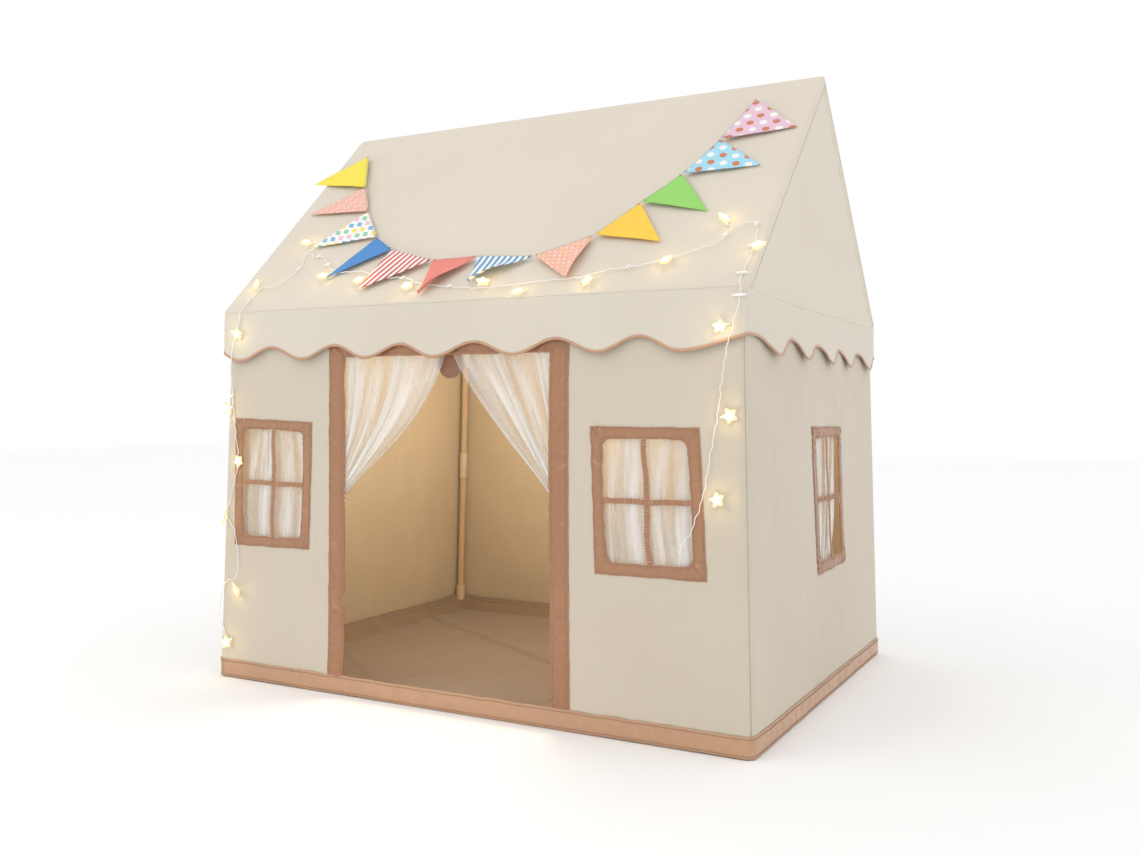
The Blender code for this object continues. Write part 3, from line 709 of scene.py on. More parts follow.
CREAM = (0.725, 0.660, 0.560)
CREAM_WARM = (0.700, 0.628, 0.520)
# The walls' cream and its warm partner are darker copies of the roof's: painted shade for the upright walls,
# which look darker in the light that falls on them.
WALL_CREAM_SHADED = (0.640, 0.572, 0.470)
WALL_WARM_SHADED = (0.612, 0.538, 0.430)
# The tan below is painted shade: the dim, warm inside of the tent, put on the cloth's inner faces.
INSIDE_SHADE_TAN = (0.510, 0.400, 0.262)
BROWN = (0.385, 0.180, 0.088)
# Painted shade and painted highlight colours for the satin trims' puckers and creases.
BROWN_PAINTED_SHADE = (0.270, 0.112, 0.054)
BROWN_PAINTED_HIGHLIGHT = (0.700, 0.420, 0.260)
WHITE = (0.93, 0.93, 0.92)

CANVAS = cloth("canvas", CREAM, CREAM_WARM)
# The cloth's inner faces: the same cream cloth, painted tan as the shade inside the tent.
CANVAS_INSIDE_SHADED = cloth("canvas_inside_painted_shade", INSIDE_SHADE_TAN, tint(INSIDE_SHADE_TAN, 1.12), roughness=0.9, sheen=0.05)
# The walls' copy of the canvas, in the painted shade cream.
CANVAS_WALL_SHADED = cloth("canvas_wall_painted_shade", WALL_CREAM_SHADED, WALL_WARM_SHADED)
# The valance's copy of the canvas, painted lighter than the walls' copy for the light that it catches below
# the eave.
CANVAS_VALANCE_LIT = cloth("canvas_valance_painted_light", (0.705, 0.650, 0.556), (0.680, 0.620, 0.520))
# Each trim's second and third colours are its painted shade and its painted highlight.
TRIM = satin("trim_fabric", BROWN, BROWN_PAINTED_SHADE, BROWN_PAINTED_HIGHLIGHT)
TRIM_HEM = satin("trim_hem", (0.560, 0.325, 0.190), (0.400, 0.200, 0.110), BROWN_PAINTED_HIGHLIGHT, 0.030)
TRIM_WINDOW = satin("trim_window", (0.392, 0.196, 0.100), BROWN_PAINTED_SHADE, BROWN_PAINTED_HIGHLIGHT)
TRIM_RUCHED = satin("trim_ruched", (0.400, 0.196, 0.100), (0.24, 0.10, 0.05), BROWN_PAINTED_HIGHLIGHT, 0.0056, 0.30)
TRIM_BINDING = satin("trim_binding", (0.560, 0.325, 0.200), (0.400, 0.190, 0.105), BROWN_PAINTED_HIGHLIGHT)
# A darker copy of the trim: painted shade for the header tab, which hangs in the shade behind the curtains.
TRIM_PAINTED_SHADE = satin("trim_painted_shade", (0.300, 0.135, 0.068), (0.20, 0.085, 0.04), (0.42, 0.21, 0.11))
SHEER_PLAIN = sheer("sheer_fabric", False, 5.0)
SHEER_DOTTED = sheer("sheer_dotted", True, 4.0)
THREAD_CREAM = cotton("thread_cream", (0.66, 0.59, 0.48))
THREAD_BROWN = cotton("thread_brown", (0.34, 0.17, 0.10))
STRING = cotton("string_cotton", (0.80, 0.77, 0.70))
CORD_PLASTIC = moulded("cord_plastic", WHITE, 0.35)
BOX_PLASTIC = moulded("box_plastic", WHITE, 0.42)
SWITCH_PLASTIC = moulded("switch_plastic", (0.10, 0.09, 0.08), 0.38)
CONNECTOR_PLASTIC = moulded("connector_plastic", (0.78, 0.74, 0.66), 0.42)
GLOW = glowing("star_glow")


# ---- Star light string ----
def wall_point(x, up, lift=CORD_LIFT):
    return WALLS["front"] @ Vector((x, up, lift))


def slope_point(x, up, lift=CORD_LIFT):
    return SLOPE @ Vector((x, up, lift))


def valance_point(x, height, more_lift=0.0):
    return Vector((x, -ROOF_HALF_Y - CORD_LIFT - more_lift, height))


def box_end():
    low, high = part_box("battery_box")
    return Vector(((low.x + high.x) / 2, low.y - 0.0004, low.z + 0.008))


# The light string's route. On a wall or slope its places are (x, distance up, height off the cloth),
# where the last is CORD_LIFT if left out. On the valance they are (x, height, what is added to
# CORD_LIFT).
ROUTE_LEFT = [
    (-0.615, 0.082), (-0.641, 0.152), (-0.621, 0.222), (-0.590, 0.234), (-0.599, 0.345),
    (-0.621, 0.371), (-0.610, 0.418), (-0.588, 0.500), (-0.596, 0.562), (-0.608, 0.645),
    (-0.606, 0.683, 0.0090),
]
ROUTE_LEFT_EAVE = [
    (-0.600, 0.722, 0.0045), (-0.594, 0.770, 0.0030), (-0.580, 0.815), (-0.572, 0.850, 0.0005),
]
ROUTE_SLOPE = [
    (-0.572, 0.022), (-0.562, 0.080), (-0.541, 0.075), (-0.505, 0.104), (-0.489, 0.150),
    (-0.507, 0.202), (-0.496, 0.210), (-0.470, 0.181), (-0.446, 0.183), (-0.395, 0.136),
    (-0.359, 0.117), (-0.277, 0.110), (-0.240, 0.085), (-0.155, 0.079), (-0.103, 0.056),
    (-0.022, 0.039), (0.060, 0.028), (0.133, 0.032), (0.210, 0.039), (0.290, 0.044),
    (0.337, 0.061), (0.394, 0.068), (0.446, 0.081), (0.496, 0.101), (0.545, 0.128),
    (0.566, 0.170), (0.603, 0.180), (0.615, 0.146), (0.620, 0.088), (0.617, 0.022),
]
ROUTE_RIGHT_EAVE = [
    (0.620, 0.850, 0.0005), (0.619, 0.820), (0.609, 0.778, 0.0030), (0.598, 0.735, 0.0045),
]
ROUTE_RIGHT = [
    (0.586, 0.684, 0.0080), (0.577, 0.619), (0.565, 0.550), (0.550, 0.466), (0.538, 0.428),
    (0.526, 0.397), (0.509, 0.374, 0.0030), (0.503, 0.349, -0.0055), (0.506, 0.300, -0.0058),
    (0.508, 0.150, -0.0070), (0.504, 0.070, -0.022),
]


def cord_route():
    """Up the left of the front, over the eave, along the slope, down to the right window and
    inside it to the battery box."""
    stretches = [
        (wall_point, ROUTE_LEFT), (valance_point, ROUTE_LEFT_EAVE), (slope_point, ROUTE_SLOPE),
        (valance_point, ROUTE_RIGHT_EAVE), (wall_point, ROUTE_RIGHT),
    ]
    route = [point(*place) for point, places in stretches for place in places]
    return route + [box_end() + Vector((0, -0.016, 0.001)), box_end()]


def smooth_through(route, steps):
    """Points on one smooth curve through every point of a route."""
    points = []
    last = len(route) - 1
    for index in range(last):
        before = route[max(index - 1, 0)]
        here = route[index]
        there = route[index + 1]
        after = route[min(index + 2, last)]
        for step in range(steps):
            points.append(centripetal(before, here, there, after, step / steps))
    points.append(route[-1])
    return points


def centripetal(before, here, there, after, share):
    """A point of a centripetal Catmull-Rom curve between the two middle points."""
    first = max((here - before).length, 0.000001) ** 0.5
    second = (there - here).length ** 0.5
    third = max((after - there).length, 0.000001) ** 0.5
    leave = there - here
    arrive = there - here
    if (here - before).length > 0:
        leave = ((here - before) / first - (there - before) / (first + second)) * second + leave
    if (after - there).length > 0:
        arrive = ((after - there) / third - (after - here) / (second + third)) * second + arrive
    square = share * share
    cube = square * share
    return (
        here * (2 * cube - 3 * square + 1) + leave * (cube - 2 * square + share)
        + there * (3 * square - 2 * cube) + arrive * (cube - square)
    )


def outward(points):
    """The way out from the cloth below each point of the light string."""
    share = smooth(EAVE_Z - 0.006, EAVE_Z + 0.014, points[:, 2])[:, None]
    return unit(share * SLOPE_OUT + (1 - share) * FRONT_OUT)


def cord_line():
    """The light string's centreline, with the small kinks that it keeps from its packing."""
    path = resampled([tuple(p) for p in smooth_through(cord_route(), 10)], 0.0030)
    out = outward(path)
    along = unit(np.gradient(path, axis=0))
    run = lengths_along(path)
    calm = smooth(0, 0.02, run) * smooth(0, 0.06, run[-1] - run)
    kink = 0.0009 * np.sin(run * 2 * math.pi / 0.024) + 0.0008 * np.sin(run * 2 * math.pi / 0.041 + 1)
    return path + unit(np.cross(along, out)) * (kink * calm)[:, None]


TWIST = 0.010
STRAND_RADIUS = 0.00068


def make_light_cord(path):
    skin = Skin()
    along = unit(np.gradient(path, axis=0))
    side = unit(np.cross(along, outward(path)))
    up = np.cross(side, along)
    run = lengths_along(path)
    for start in (0, math.pi):
        turn = (run * 2 * math.pi / TWIST + start)[:, None]
        strand = path + (side * np.cos(turn) + up * np.sin(turn)) * (CORD_DIAMETER / 2 - STRAND_RADIUS)
        skin.tube(strand, side, up, STRAND_RADIUS, STRAND_RADIUS, sides=6)
    return placed(skin.build("star_light_cord", CORD_PLASTIC), nodes=["light_cord"])


# The stars, each where it rests: on the front wall or valance as (x, height), on the roof
# slope as (x, distance up from the eave).
STARS = [
    ("wall", -0.615, 0.082), ("wall", -0.585, 0.204), ("wall", -0.626, 0.370), ("wall", -0.583, 0.501),
    ("wall", -0.620, 0.621), ("valance", -0.580, 0.792), ("slope", -0.581, 0.084),
    ("slope", -0.527, 0.238), ("slope", -0.392, 0.100), ("slope", -0.274, 0.075),
    ("slope", -0.127, 0.044), ("slope", 0.064, 0.043), ("slope", 0.162, 0.004),
    ("slope", 0.307, 0.025), ("slope", 0.457, 0.074), ("slope", 0.541, 0.193),
    ("slope", 0.630, 0.100), ("valance", 0.584, 0.771), ("wall", 0.601, 0.612), ("wall", 0.579, 0.461),
]
STAR_RADIUS = 0.0170
STAR_VALLEY = 0.0088
STAR_DEPTH = 0.0052
STAR_HEIGHT = 0.0085


def star_seat(surface, x, up):
    """A star's middle and its way out."""
    if surface == "slope":
        return np.array(slope_point(x, up, STAR_HEIGHT)), SLOPE_OUT
    if surface == "wall":
        return np.array(wall_point(x, up, STAR_HEIGHT)), FRONT_OUT
    return np.array([x, -ROOF_HALF_Y - STAR_HEIGHT, up]), FRONT_OUT


def turned_frame(out, towards, tip, tilt):
    """Two directions across a star and one through it, tipped off its cloth."""
    across = unit(towards - out * np.dot(towards, out))
    side = np.cross(out, across)
    through = out * math.cos(tip) + (across * math.cos(tilt) + side * math.sin(tilt)) * math.sin(tip)
    first = unit(across - through * np.dot(across, through))
    return first, np.cross(through, first), through


def make_star(index, surface, x, up, path):
    """A puffed five-pointed lamp on its short socket, which reaches back to the cord."""
    draw = random.Random(300 + index)
    centre, out = star_seat(surface, x, up)
    nearest = path[np.argmin(np.linalg.norm(path - centre, axis=1))]
    towards = nearest - centre
    towards = towards - out * np.dot(towards, out)
    if np.linalg.norm(towards) < 0.004:
        towards = np.cross(out, [draw.uniform(-1, 1), 0.3, draw.uniform(-1, 1)])
    tip = draw.choice([0.15, 0.3, 0.5, 0.8]) * draw.choice([-1, 1])
    first, second, through = turned_frame(out, towards, tip, draw.uniform(0, math.pi))
    size = draw.uniform(0.94, 1.06)
    skin = Skin()
    angle = np.linspace(0, 2 * math.pi, 50, endpoint=False)
    point = np.abs(((angle / (2 * math.pi) * 5) % 1.0) * 2 - 1)
    rim = STAR_VALLEY + (STAR_RADIUS - STAR_VALLEY) * point ** 1.25 - 0.0008 * smooth(0.9, 1.0, point)
    rising = np.linspace(0.02, 1, 8)
    shares = np.concatenate([rising, rising[::-1][1:]])[:, None]
    sign = np.where(np.arange(len(shares)) < len(rising), 1.0, -1.0)[:, None]
    puff = STAR_DEPTH * np.sqrt(np.maximum(1 - shares ** 2.2, 0)) * (0.80 + 0.20 * (1 - point)[None])
    flat_a = shares * (rim * np.cos(angle))[None]
    flat_b = shares * (rim * np.sin(angle))[None]
    skin.grid(size * np.stack([flat_a, flat_b, sign * puff], -1), closed=True, turned=True)
    reach = np.linspace(0.0075, 0.0200, 6)
    swell = np.array([0.0017, 0.0021, 0.0021, 0.0021, 0.0019, 0.0012])
    stem = reach[:, None] * size * np.array([1.0, 0, 0])
    skin.tube(stem, (0, 1, 0), (0, 0, 1), swell, swell, sides=10, paint=1)
    star = skin.build(f"star_{index + 1:02d}", GLOW, CORD_PLASTIC)
    star.matrix_world = Matrix.Translation(centre) @ Matrix((first, second, through)).transposed().to_4x4()
    return placed(star)


def make_star_lights():
    """A small warm lamp inside the glow of each star, so that it lights its cloth."""
    for index, (surface, x, up) in enumerate(STARS):
        centre, out = star_seat(surface, x, up)
        data = bpy.data.lights.new(f"star_lamp_{index + 1:02d}", "POINT")
        data.energy = 0.022
        data.color = (1.0, 0.72, 0.20)
        data.shadow_soft_size = 0.006
        lamp = bpy.data.objects.new(data.name, data)
        lamp.location = centre + out * 0.014
        bpy.context.scene.collection.objects.link(lamp)


BARE_SOCKETS = [
    ("slope", -0.565, 0.030), ("slope", -0.492, 0.138), ("slope", -0.457, 0.181), ("slope", -0.407, 0.148),
    ("slope", -0.161, 0.075), ("slope", -0.018, 0.037), ("slope", 0.377, 0.067), ("slope", 0.558, 0.146),
    ("slope", 0.612, 0.176), ("wall", -0.610, 0.651),
]


def make_bare_sockets(path):
    """Short white sockets along the string between its stars."""
    skin = Skin()
    for index, (surface, x, up) in enumerate(BARE_SOCKETS):
        seat, out = star_seat(surface, x, up)
        near = path[np.argmin(np.linalg.norm(path - seat, axis=1))]
        spin = random.Random(350 + index).uniform(0.5, 1.2)
        side = np.cross(out, [1.0, 0.0, 0.0])
        along = unit(np.array([1.0, 0.0, 0.0]) * math.cos(spin) + side * math.sin(spin))
        run = np.linspace(-0.0065, 0.0065, 9)
        swell = 0.0020 + 0.0004 * np.cos(run / 0.0065 * math.pi)
        line = near + out * 0.0014 + run[:, None] * along
        skin.tube(line, np.cross(out, along), out, swell, swell, sides=10)
    return placed(skin.build("bare_sockets", CORD_PLASTIC))


def make_cord_clips():
    """Two small white bars that hold the string at the right end of the eave."""
    skin = Skin()
    seats = [
        (slope_point(0.617, 0.026, 0.0066), SLOPE_OUT),
        (Vector((0.6185, -ROOF_HALF_Y - 0.0074, 0.826)), FRONT_OUT),
    ]
    for middle, out in seats:
        run = np.linspace(-0.013, 0.013, 13)
        along = np.array([1.0, 0.0, 0.0])
        line = np.array(middle) + run[:, None] * along - np.outer((run / 0.013) ** 4 * 0.003, out)
        wide = 0.0022 * np.sqrt(1 - np.clip(np.abs(run) / 0.0136, 0, 1) ** 6)
        skin.tube(line, np.cross(out, along), out, wide, wide * 0.6)
    return placed(skin.build("cord_clips", CORD_PLASTIC))


def make_light_string():
    path = cord_line()
    cord = make_light_cord(path)
    stars = [make_star(index, *star, path) for index, star in enumerate(STARS)]
    sockets = make_bare_sockets(path)
    make_cord_clips()
    make_star_lights()


# ---- Pennants ----
def pennant_place(start, end):
    """On the slope, with x along the string, y down from it and z into the roof."""
    first = SLOPE @ Vector((*start, STRING_HEIGHT))
    second = SLOPE @ Vector((*end, STRING_HEIGHT))
    along = (second - first).normalized()
    down = along.cross(SLOPE.to_3x3() @ Vector((0, 0, 1)))
    return frame_matrix((first + second) / 2, along, down), (second - first).length


def felt(name):
    """Stiff pressed felt, with short fibres in every direction."""
    paint = Paint(name, 0.88, sheen=0.12, sheen_roughness=0.5)
    fibres = paint.noise(520.0, 4.0, 0.7)
    cloud = paint.noise(30.0, 3.0)
    paint.bump(fibres, 0.00025, 0.6)
    paint.bump(cloud, 0.0006, 0.4)
    paint.rough(paint.between(fibres, 0.3, 0.7, 0.82, 0.94))
    return paint, lambda base: paint.colour(worn(paint, base, fibres, cloud))


def worn(paint, base, fibres, cloud):
    base = paint.mix(paint.between(cloud, 0.35, 0.70, 0.0, 0.12), base, (0.55, 0.50, 0.45), "MULTIPLY")
    return paint.mix(paint.between(fibres, 0.50, 0.75, 0.0, 0.10), base, (1.0, 1.0, 1.0), "SCREEN")


def lattice(paint, pitch_x, pitch_y, stagger, turn=0.0):
    """Each place's offset from the middle of its cell, and the cell's own column and row."""
    x, y, _ = paint.axes(paint.scaled(1, 1, 1, (0, 0, turn)))
    row = paint.maths("FLOOR", paint.maths("DIVIDE", y, pitch_y))
    shift = paint.times(paint.maths("FLOORED_MODULO", row, 2.0), stagger)
    column_place = paint.total(paint.maths("DIVIDE", x, pitch_x), shift)
    column = paint.maths("FLOOR", column_place)
    off_x = paint.maths("SUBTRACT", paint.maths("SUBTRACT", column_place, column), 0.5)
    off_y = paint.maths("SUBTRACT", paint.maths("SUBTRACT", paint.maths("DIVIDE", y, pitch_y), row), 0.5)
    return off_x, off_y, column, row


def oval_spots(paint, off_x, off_y, half_x, half_y):
    """1 inside an oval in the middle of each cell. The half sizes are shares of a cell."""
    a = paint.maths("DIVIDE", off_x, half_x)
    b = paint.maths("DIVIDE", off_y, half_y)
    reach = paint.total(paint.times(a, a), paint.times(b, b))
    return paint.between(reach, 1.12, 0.88)


def plain_pattern(paint, colour):
    return colour


def stripe_pattern(paint, colour, stripe):
    x = paint.axes(paint.scaled(1, 1, 1, (0, 0, math.radians(-3))))[0]
    return paint.mix(paint.between(paint.wave(x, 0.0150), -0.12, 0.12), colour, stripe)


def dot_rows_pattern(paint, colour, light, other):
    off_x, off_y, column, _ = lattice(paint, 0.0150, 0.0100, 0.5, math.radians(24))
    spots = oval_spots(paint, off_x, off_y, 0.14, 0.22)
    parity = paint.maths("FLOORED_MODULO", column, 2.0)
    return paint.mix(spots, colour, paint.mix(parity, light, other))


def oval_pattern(paint, colour, light, other):
    off_x, off_y, _, row = lattice(paint, 0.0300, 0.0250, 0.5, math.radians(-20))
    spots = oval_spots(paint, off_x, off_y, 0.25, 0.36)
    parity = paint.maths("FLOORED_MODULO", row, 2.0)
    return paint.mix(spots, colour, paint.mix(parity, light, other))


def diamond_pattern(paint, colour):
    """Rows of stretched diamonds, each row with its own turn of four colours."""
    off_x, off_y, column, row = lattice(paint, 0.0300, 0.0180, 0.5, math.radians(6))
    reach = paint.total(paint.maths("ABSOLUTE", off_x), paint.maths("ABSOLUTE", off_y))
    inside = paint.between(reach, 0.47, 0.43)
    which = paint.maths("FLOORED_MODULO", paint.total(column, row), 4.0)
    shade = paint.mix(paint.maths("GREATER_THAN", which, 0.5), (0.16, 0.45, 0.70), (0.95, 0.72, 0.15))
    shade = paint.mix(paint.maths("GREATER_THAN", which, 1.5), shade, (0.25, 0.62, 0.38))
    shade = paint.mix(paint.maths("GREATER_THAN", which, 2.5), shade, (0.86, 0.52, 0.62))
    return paint.mix(inside, colour, shade)


SALMON = (0.875, 0.475, 0.365)
PAPER_WHITE = (0.90, 0.88, 0.85)
LILAC = (0.62, 0.40, 0.66)
TERRACOTTA = (0.60, 0.20, 0.10)
# Each pennant's point, as (shift along its string, drop below it), how far it leans towards
# the roof at its point, how far its lower right edge curls up, and its colours.
PENNANTS = [
    ((-0.048, 0.155), 0.0050, 0.000, plain_pattern, [(0.90, 0.75, 0.055)]),
    ((-0.055, 0.155), 0.0050, 0.000, dot_rows_pattern, [SALMON, PAPER_WHITE, LILAC]),
    ((-0.030, 0.155), 0.0040, 0.000, diamond_pattern, [PAPER_WHITE]),
    ((-0.016, 0.153), 0.0015, 0.000, plain_pattern, [(0.055, 0.245, 0.60)]),
    ((-0.044, 0.137), 0.0010, 0.000, stripe_pattern, [PAPER_WHITE, (0.64, 0.115, 0.105)]),
    ((-0.038, 0.115), 0.0010, 0.012, plain_pattern, [(0.80, 0.235, 0.19)]),
    ((-0.045, 0.085), 0.0010, 0.013, stripe_pattern, [PAPER_WHITE, (0.130, 0.340, 0.60)]),
    ((-0.004, 0.115), 0.0010, 0.007, dot_rows_pattern, [SALMON, PAPER_WHITE, (0.90, 0.72, 0.30)]),
    ((0.000, 0.143), 0.0040, 0.000, plain_pattern, [(0.96, 0.60, 0.055)]),
    ((0.000, 0.150), 0.0050, 0.000, plain_pattern, [(0.290, 0.660, 0.130)]),
    ((0.010, 0.145), 0.0050, 0.000, oval_pattern, [(0.360, 0.700, 0.850), PAPER_WHITE, TERRACOTTA]),
    ((-0.014, 0.146), 0.0050, 0.000, oval_pattern, [(0.790, 0.540, 0.660), PAPER_WHITE, TERRACOTTA]),
]
PENNANT_TOP = 0.0012
PENNANT_THICKNESS = 0.0008


def make_pennant(index, point, lean, curl, pattern, colours):
    number = index + 1
    place, length = pennant_place(STRING_KNOTS[index], STRING_KNOTS[index + 1])
    half = length / 2 - PENNANT_SIDE_GAP + 0.001
    a = np.linspace(0, 1, 19)[None, :]
    b = np.linspace(0, 1, 27)[:, None]
    tip = 0.0006
    x = (-half + 2 * half * a) * (1 - b) + (point[0] + (a - 0.5) * 2 * tip) * b
    y = PENNANT_TOP + (point[1] - PENNANT_TOP) * b + 0 * a
    warp = 0.0009 * ripples(x, y, 60 + index, 0.13) * smooth(0.0, 0.25, b)
    lift = curl * smooth(0.45, 1.0, a) * smooth(0.10, 0.75, b) * (1 - 0.35 * smooth(0.75, 1.0, b))
    z = lean * b ** 1.6 + warp - lift
    skin = Skin()
    skin.grid(np.stack([x, y, z], -1), turned=True)
    for side in (-1, 1):
        spot = side * (half - 0.006)
        turn = np.linspace(0, 2 * math.pi, 17)
        loop = np.stack([0 * turn + spot, 0.0026 + 0.0034 * np.cos(turn), 0.0024 * np.sin(turn)], -1)
        out = np.stack([0 * turn, np.cos(turn), np.sin(turn)], -1)
        skin.tube(loop, (1, 0, 0), out, 0.00045, 0.00045, sides=6, paint=1, caps=False)
    paint, finish = felt(f"pennant_cloth_{number}")
    finish(pattern(paint, *colours))
    name = f"pennant_cloth_{number:02d}"
    flag = thickened(skin.build(name, paint.material, THREAD_BROWN), PENNANT_THICKNESS)
    flag.matrix_world = place
    placed(flag, f"pennant_{number:02d}", [f"pennant_{number:02d}"])


def make_bunting():
    knots = [SLOPE @ Vector((x, up, STRING_HEIGHT)) for x, up in STRING_KNOTS]
    path = resampled([tuple(p) for p in knots], 0.004)
    out = np.tile(np.array(SLOPE)[:3, 2], (len(path), 1))
    along = unit(np.gradient(path, axis=0))
    side = np.cross(along, out)
    skin = Skin()
    run = lengths_along(path)
    for start in (0, math.pi):
        turn = (run * 2 * math.pi / 0.012 + start)[:, None]
        strand = path + (side * np.cos(turn) + out * np.sin(turn)) * 0.00042
        skin.tube(strand, side, out, 0.00044, 0.00044, sides=6)
    string = placed(skin.build("bunting_thread", STRING), nodes=["bunting_string"])
    for index, pennant in enumerate(PENNANTS):
        make_pennant(index, *pennant)


# ---- Walls ----
def wall_grid(wall):
    """The places on a wall as rows of (x, up), with lines along every opening's edges."""
    inner = {"front": 0.600, "back": 0.600, "right": 0.455, "left": 0.455}[wall]
    across = [-inner, inner]
    upward = [HEM_TOP - 0.006, WALL_TOP]
    holes = []
    for window in WINDOWS.values():
        if window["wall"] == wall:
            (x, up), (half_x, half_up) = window["middle"], window["half"]
            holes.append((x - half_x, x + half_x, up - half_up, up + half_up))
    if wall == "front":
        holes.append((DOOR_LEFT, DOOR_RIGHT, 0.0, DOOR_TOP))
    for left, right, low, high in holes:
        across += [left, right]
        upward += [high] if low < HEM_TOP else [low, high]
    columns = lines(0.0085, *sorted(across))
    rows = lines(0.0085, *sorted(upward))
    limit = straight_half(wall, rows) + CORNER * math.pi / 4
    share = np.concatenate([np.linspace(0, 0.6, 5)[1:], np.linspace(0.6, 1, 8)[1:]])
    right = inner + share[None] * (limit[:, None] - inner)
    x = np.concatenate([-right[:, ::-1], np.tile(columns, (len(rows), 1)), right], axis=1)
    up = np.repeat(rows[:, None], x.shape[1], axis=1)
    middle_x = (x[:-1, :-1] + x[:-1, 1:]) / 2
    middle_up = (up[:-1, :-1] + up[1:, :-1]) / 2
    keep = np.ones(middle_x.shape, bool)
    for left, right, low, high in holes:
        keep &= ~((middle_x > left) & (middle_x < right) & (middle_up > low) & (middle_up < high))
    return x, up, keep


def make_wall(wall):
    x, up, keep = wall_grid(wall)
    skin = Skin()
    skin.grid(on_cloth(wall, x, up), keep)
    piece = thickened(skin.build(f"{wall}_wall_cloth", CANVAS_WALL_SHADED, CANVAS_INSIDE_SHADED), inside=1)
    return placed(piece, nodes=[f"{wall}_wall"])


# ---- Sewn trims ----
def strip(skin, wall, outer, inner, puff, seed, ruffle=0.0, frill=0.0):
    """One side of a sewn border, from its outer to its inner edge, mitred at both ends."""
    across = np.linspace(0, 1, 15)[:, None]
    run = lengths_along(np.concatenate([(outer + inner) / 2, np.zeros((len(outer), 1))], 1))[None]
    width = np.linalg.norm(outer - inner, axis=1)[None]
    x = outer[None, :, 0] + (inner - outer)[None, :, 0] * across
    up = outer[None, :, 1] + (inner - outer)[None, :, 1] * across
    crown = 1 - np.abs(2 * across - 1) ** 2.6
    body = puff * crown * (0.75 + 0.35 * ripples(run, 0 * run + seed, seed, 0.07))
    edge_pucker = 0.0005 * (1 - crown) * ripples(run, across * 0.01, seed + 1, 0.014)
    wrinkle = 0.00065 * ripples(run * 1.4, across * width, seed + 2, 0.020) * crown
    gathered = ruffle * ripples(run, across * width * 0.35, seed + 3, 0.012) * np.sqrt(crown)
    ends = np.minimum(run, run[0, -1] - run)
    fade = smooth(0.0, 0.014, ends)
    mitre = -0.0007 * np.exp(-(ends / 0.0011) ** 2)
    slanting = (ends + across * width * 0.8) * 2 * math.pi / 0.013
    fan = 0.0009 * np.exp(-((ends - 0.018) / 0.014) ** 2) * np.cos(slanting)
    height = body + edge_pucker * fade + wrinkle + gathered + mitre + fan + 0.0010
    wander = 0.0007 * ripples(run, 0 * run, seed + 4, 0.05) + frill * ripples(run, 0 * run, seed + 5, 0.009)
    wander = wander * fade
    normal = unit(np.concatenate([inner - outer, np.zeros((len(outer), 1))], 1))[None, :, :2]
    x = x + wander * normal[..., 0]
    up = up + wander * normal[..., 1]
    sunk = np.linspace(0.0, -0.0026, 4)[1:, None]
    x = np.concatenate([x, np.tile(x[-1:], (3, 1))])
    up = np.concatenate([up, np.tile(up[-1:], (3, 1))])
    height = np.concatenate([height, height[-1:] + sunk])
    points = on_cloth(wall, x, up, height)
    drop = np.concatenate([across * width, np.tile(width, (3, 1)) + 0.001])
    skin.grid(points, turned=True, marks=(run + 0.37 * (seed % 17), drop))
    for row in (2, 12):
        line = points[row]
        out = unit(on_cloth(wall, x[row], up[row], height[row] + 0.001) - line)
        skin.dashes(line + out * 0.0001, out, paint=1)


def rounded_side(start, end, inwards, radius, bow, samples):
    """One side of a rounded opening, from the middle of one corner to the middle of the next."""
    start, end = np.array(start, float), np.array(end, float)
    length = np.linalg.norm(end - start)
    along = (end - start) / length
    inwards = np.array(inwards, float)
    share = np.linspace(0, 1, samples)
    place = share * length
    near = np.minimum(place, length - place)
    angle = np.clip(1 - near / radius, 0, 1) * math.pi / 4
    inset = radius * (1 - np.cos(angle))
    run = np.where(near < radius, radius - radius * np.sin(angle), near)
    run = np.where(place <= length / 2, run, length - run)
    inset = inset - bow * (1 - (2 * share - 1) ** 2)
    return start + run[:, None] * along + inset[:, None] * inwards


def window_border(skin, name, window):
    (x, up), (half_x, half_up) = window["middle"], window["half"]
    seed = {"front_left": 110, "front_right": 130, "right": 150}[name]
    bow = 0.0020 if name != "right" else 0.0010
    frill = 0.0005 if name == "right" else 0.0
    radius = 0.016 if name == "front_right" else 0.010
    signs = [(-1, -1), (1, -1), (1, 1), (-1, 1)]
    draw = random.Random(seed)
    corners = [
        (x + sx * (half_x + WINDOW_TRIM + draw.uniform(-0.002, 0.002)),
         up + sy * (half_up + WINDOW_TRIM + draw.uniform(-0.002, 0.002)))
        for sx, sy in signs
    ]
    inset = 0.0012
    inner_corners = [(x + sx * (half_x - inset), up + sy * (half_up - inset)) for sx, sy in signs]
    inwards = [(0, 1), (-1, 0), (0, -1), (1, 0)]
    for side in range(4):
        after = (side + 1) % 4
        share = np.linspace(0, 1, 90)[:, None]
        outer = np.array(corners[side]) * (1 - share) + np.array(corners[after]) * share
        inner = rounded_side(inner_corners[side], inner_corners[after], inwards[side], radius, bow, 90)
        strip(skin, window["wall"], outer, inner, 0.0016, seed + 5 * side, ruffle=0.0005, frill=frill)


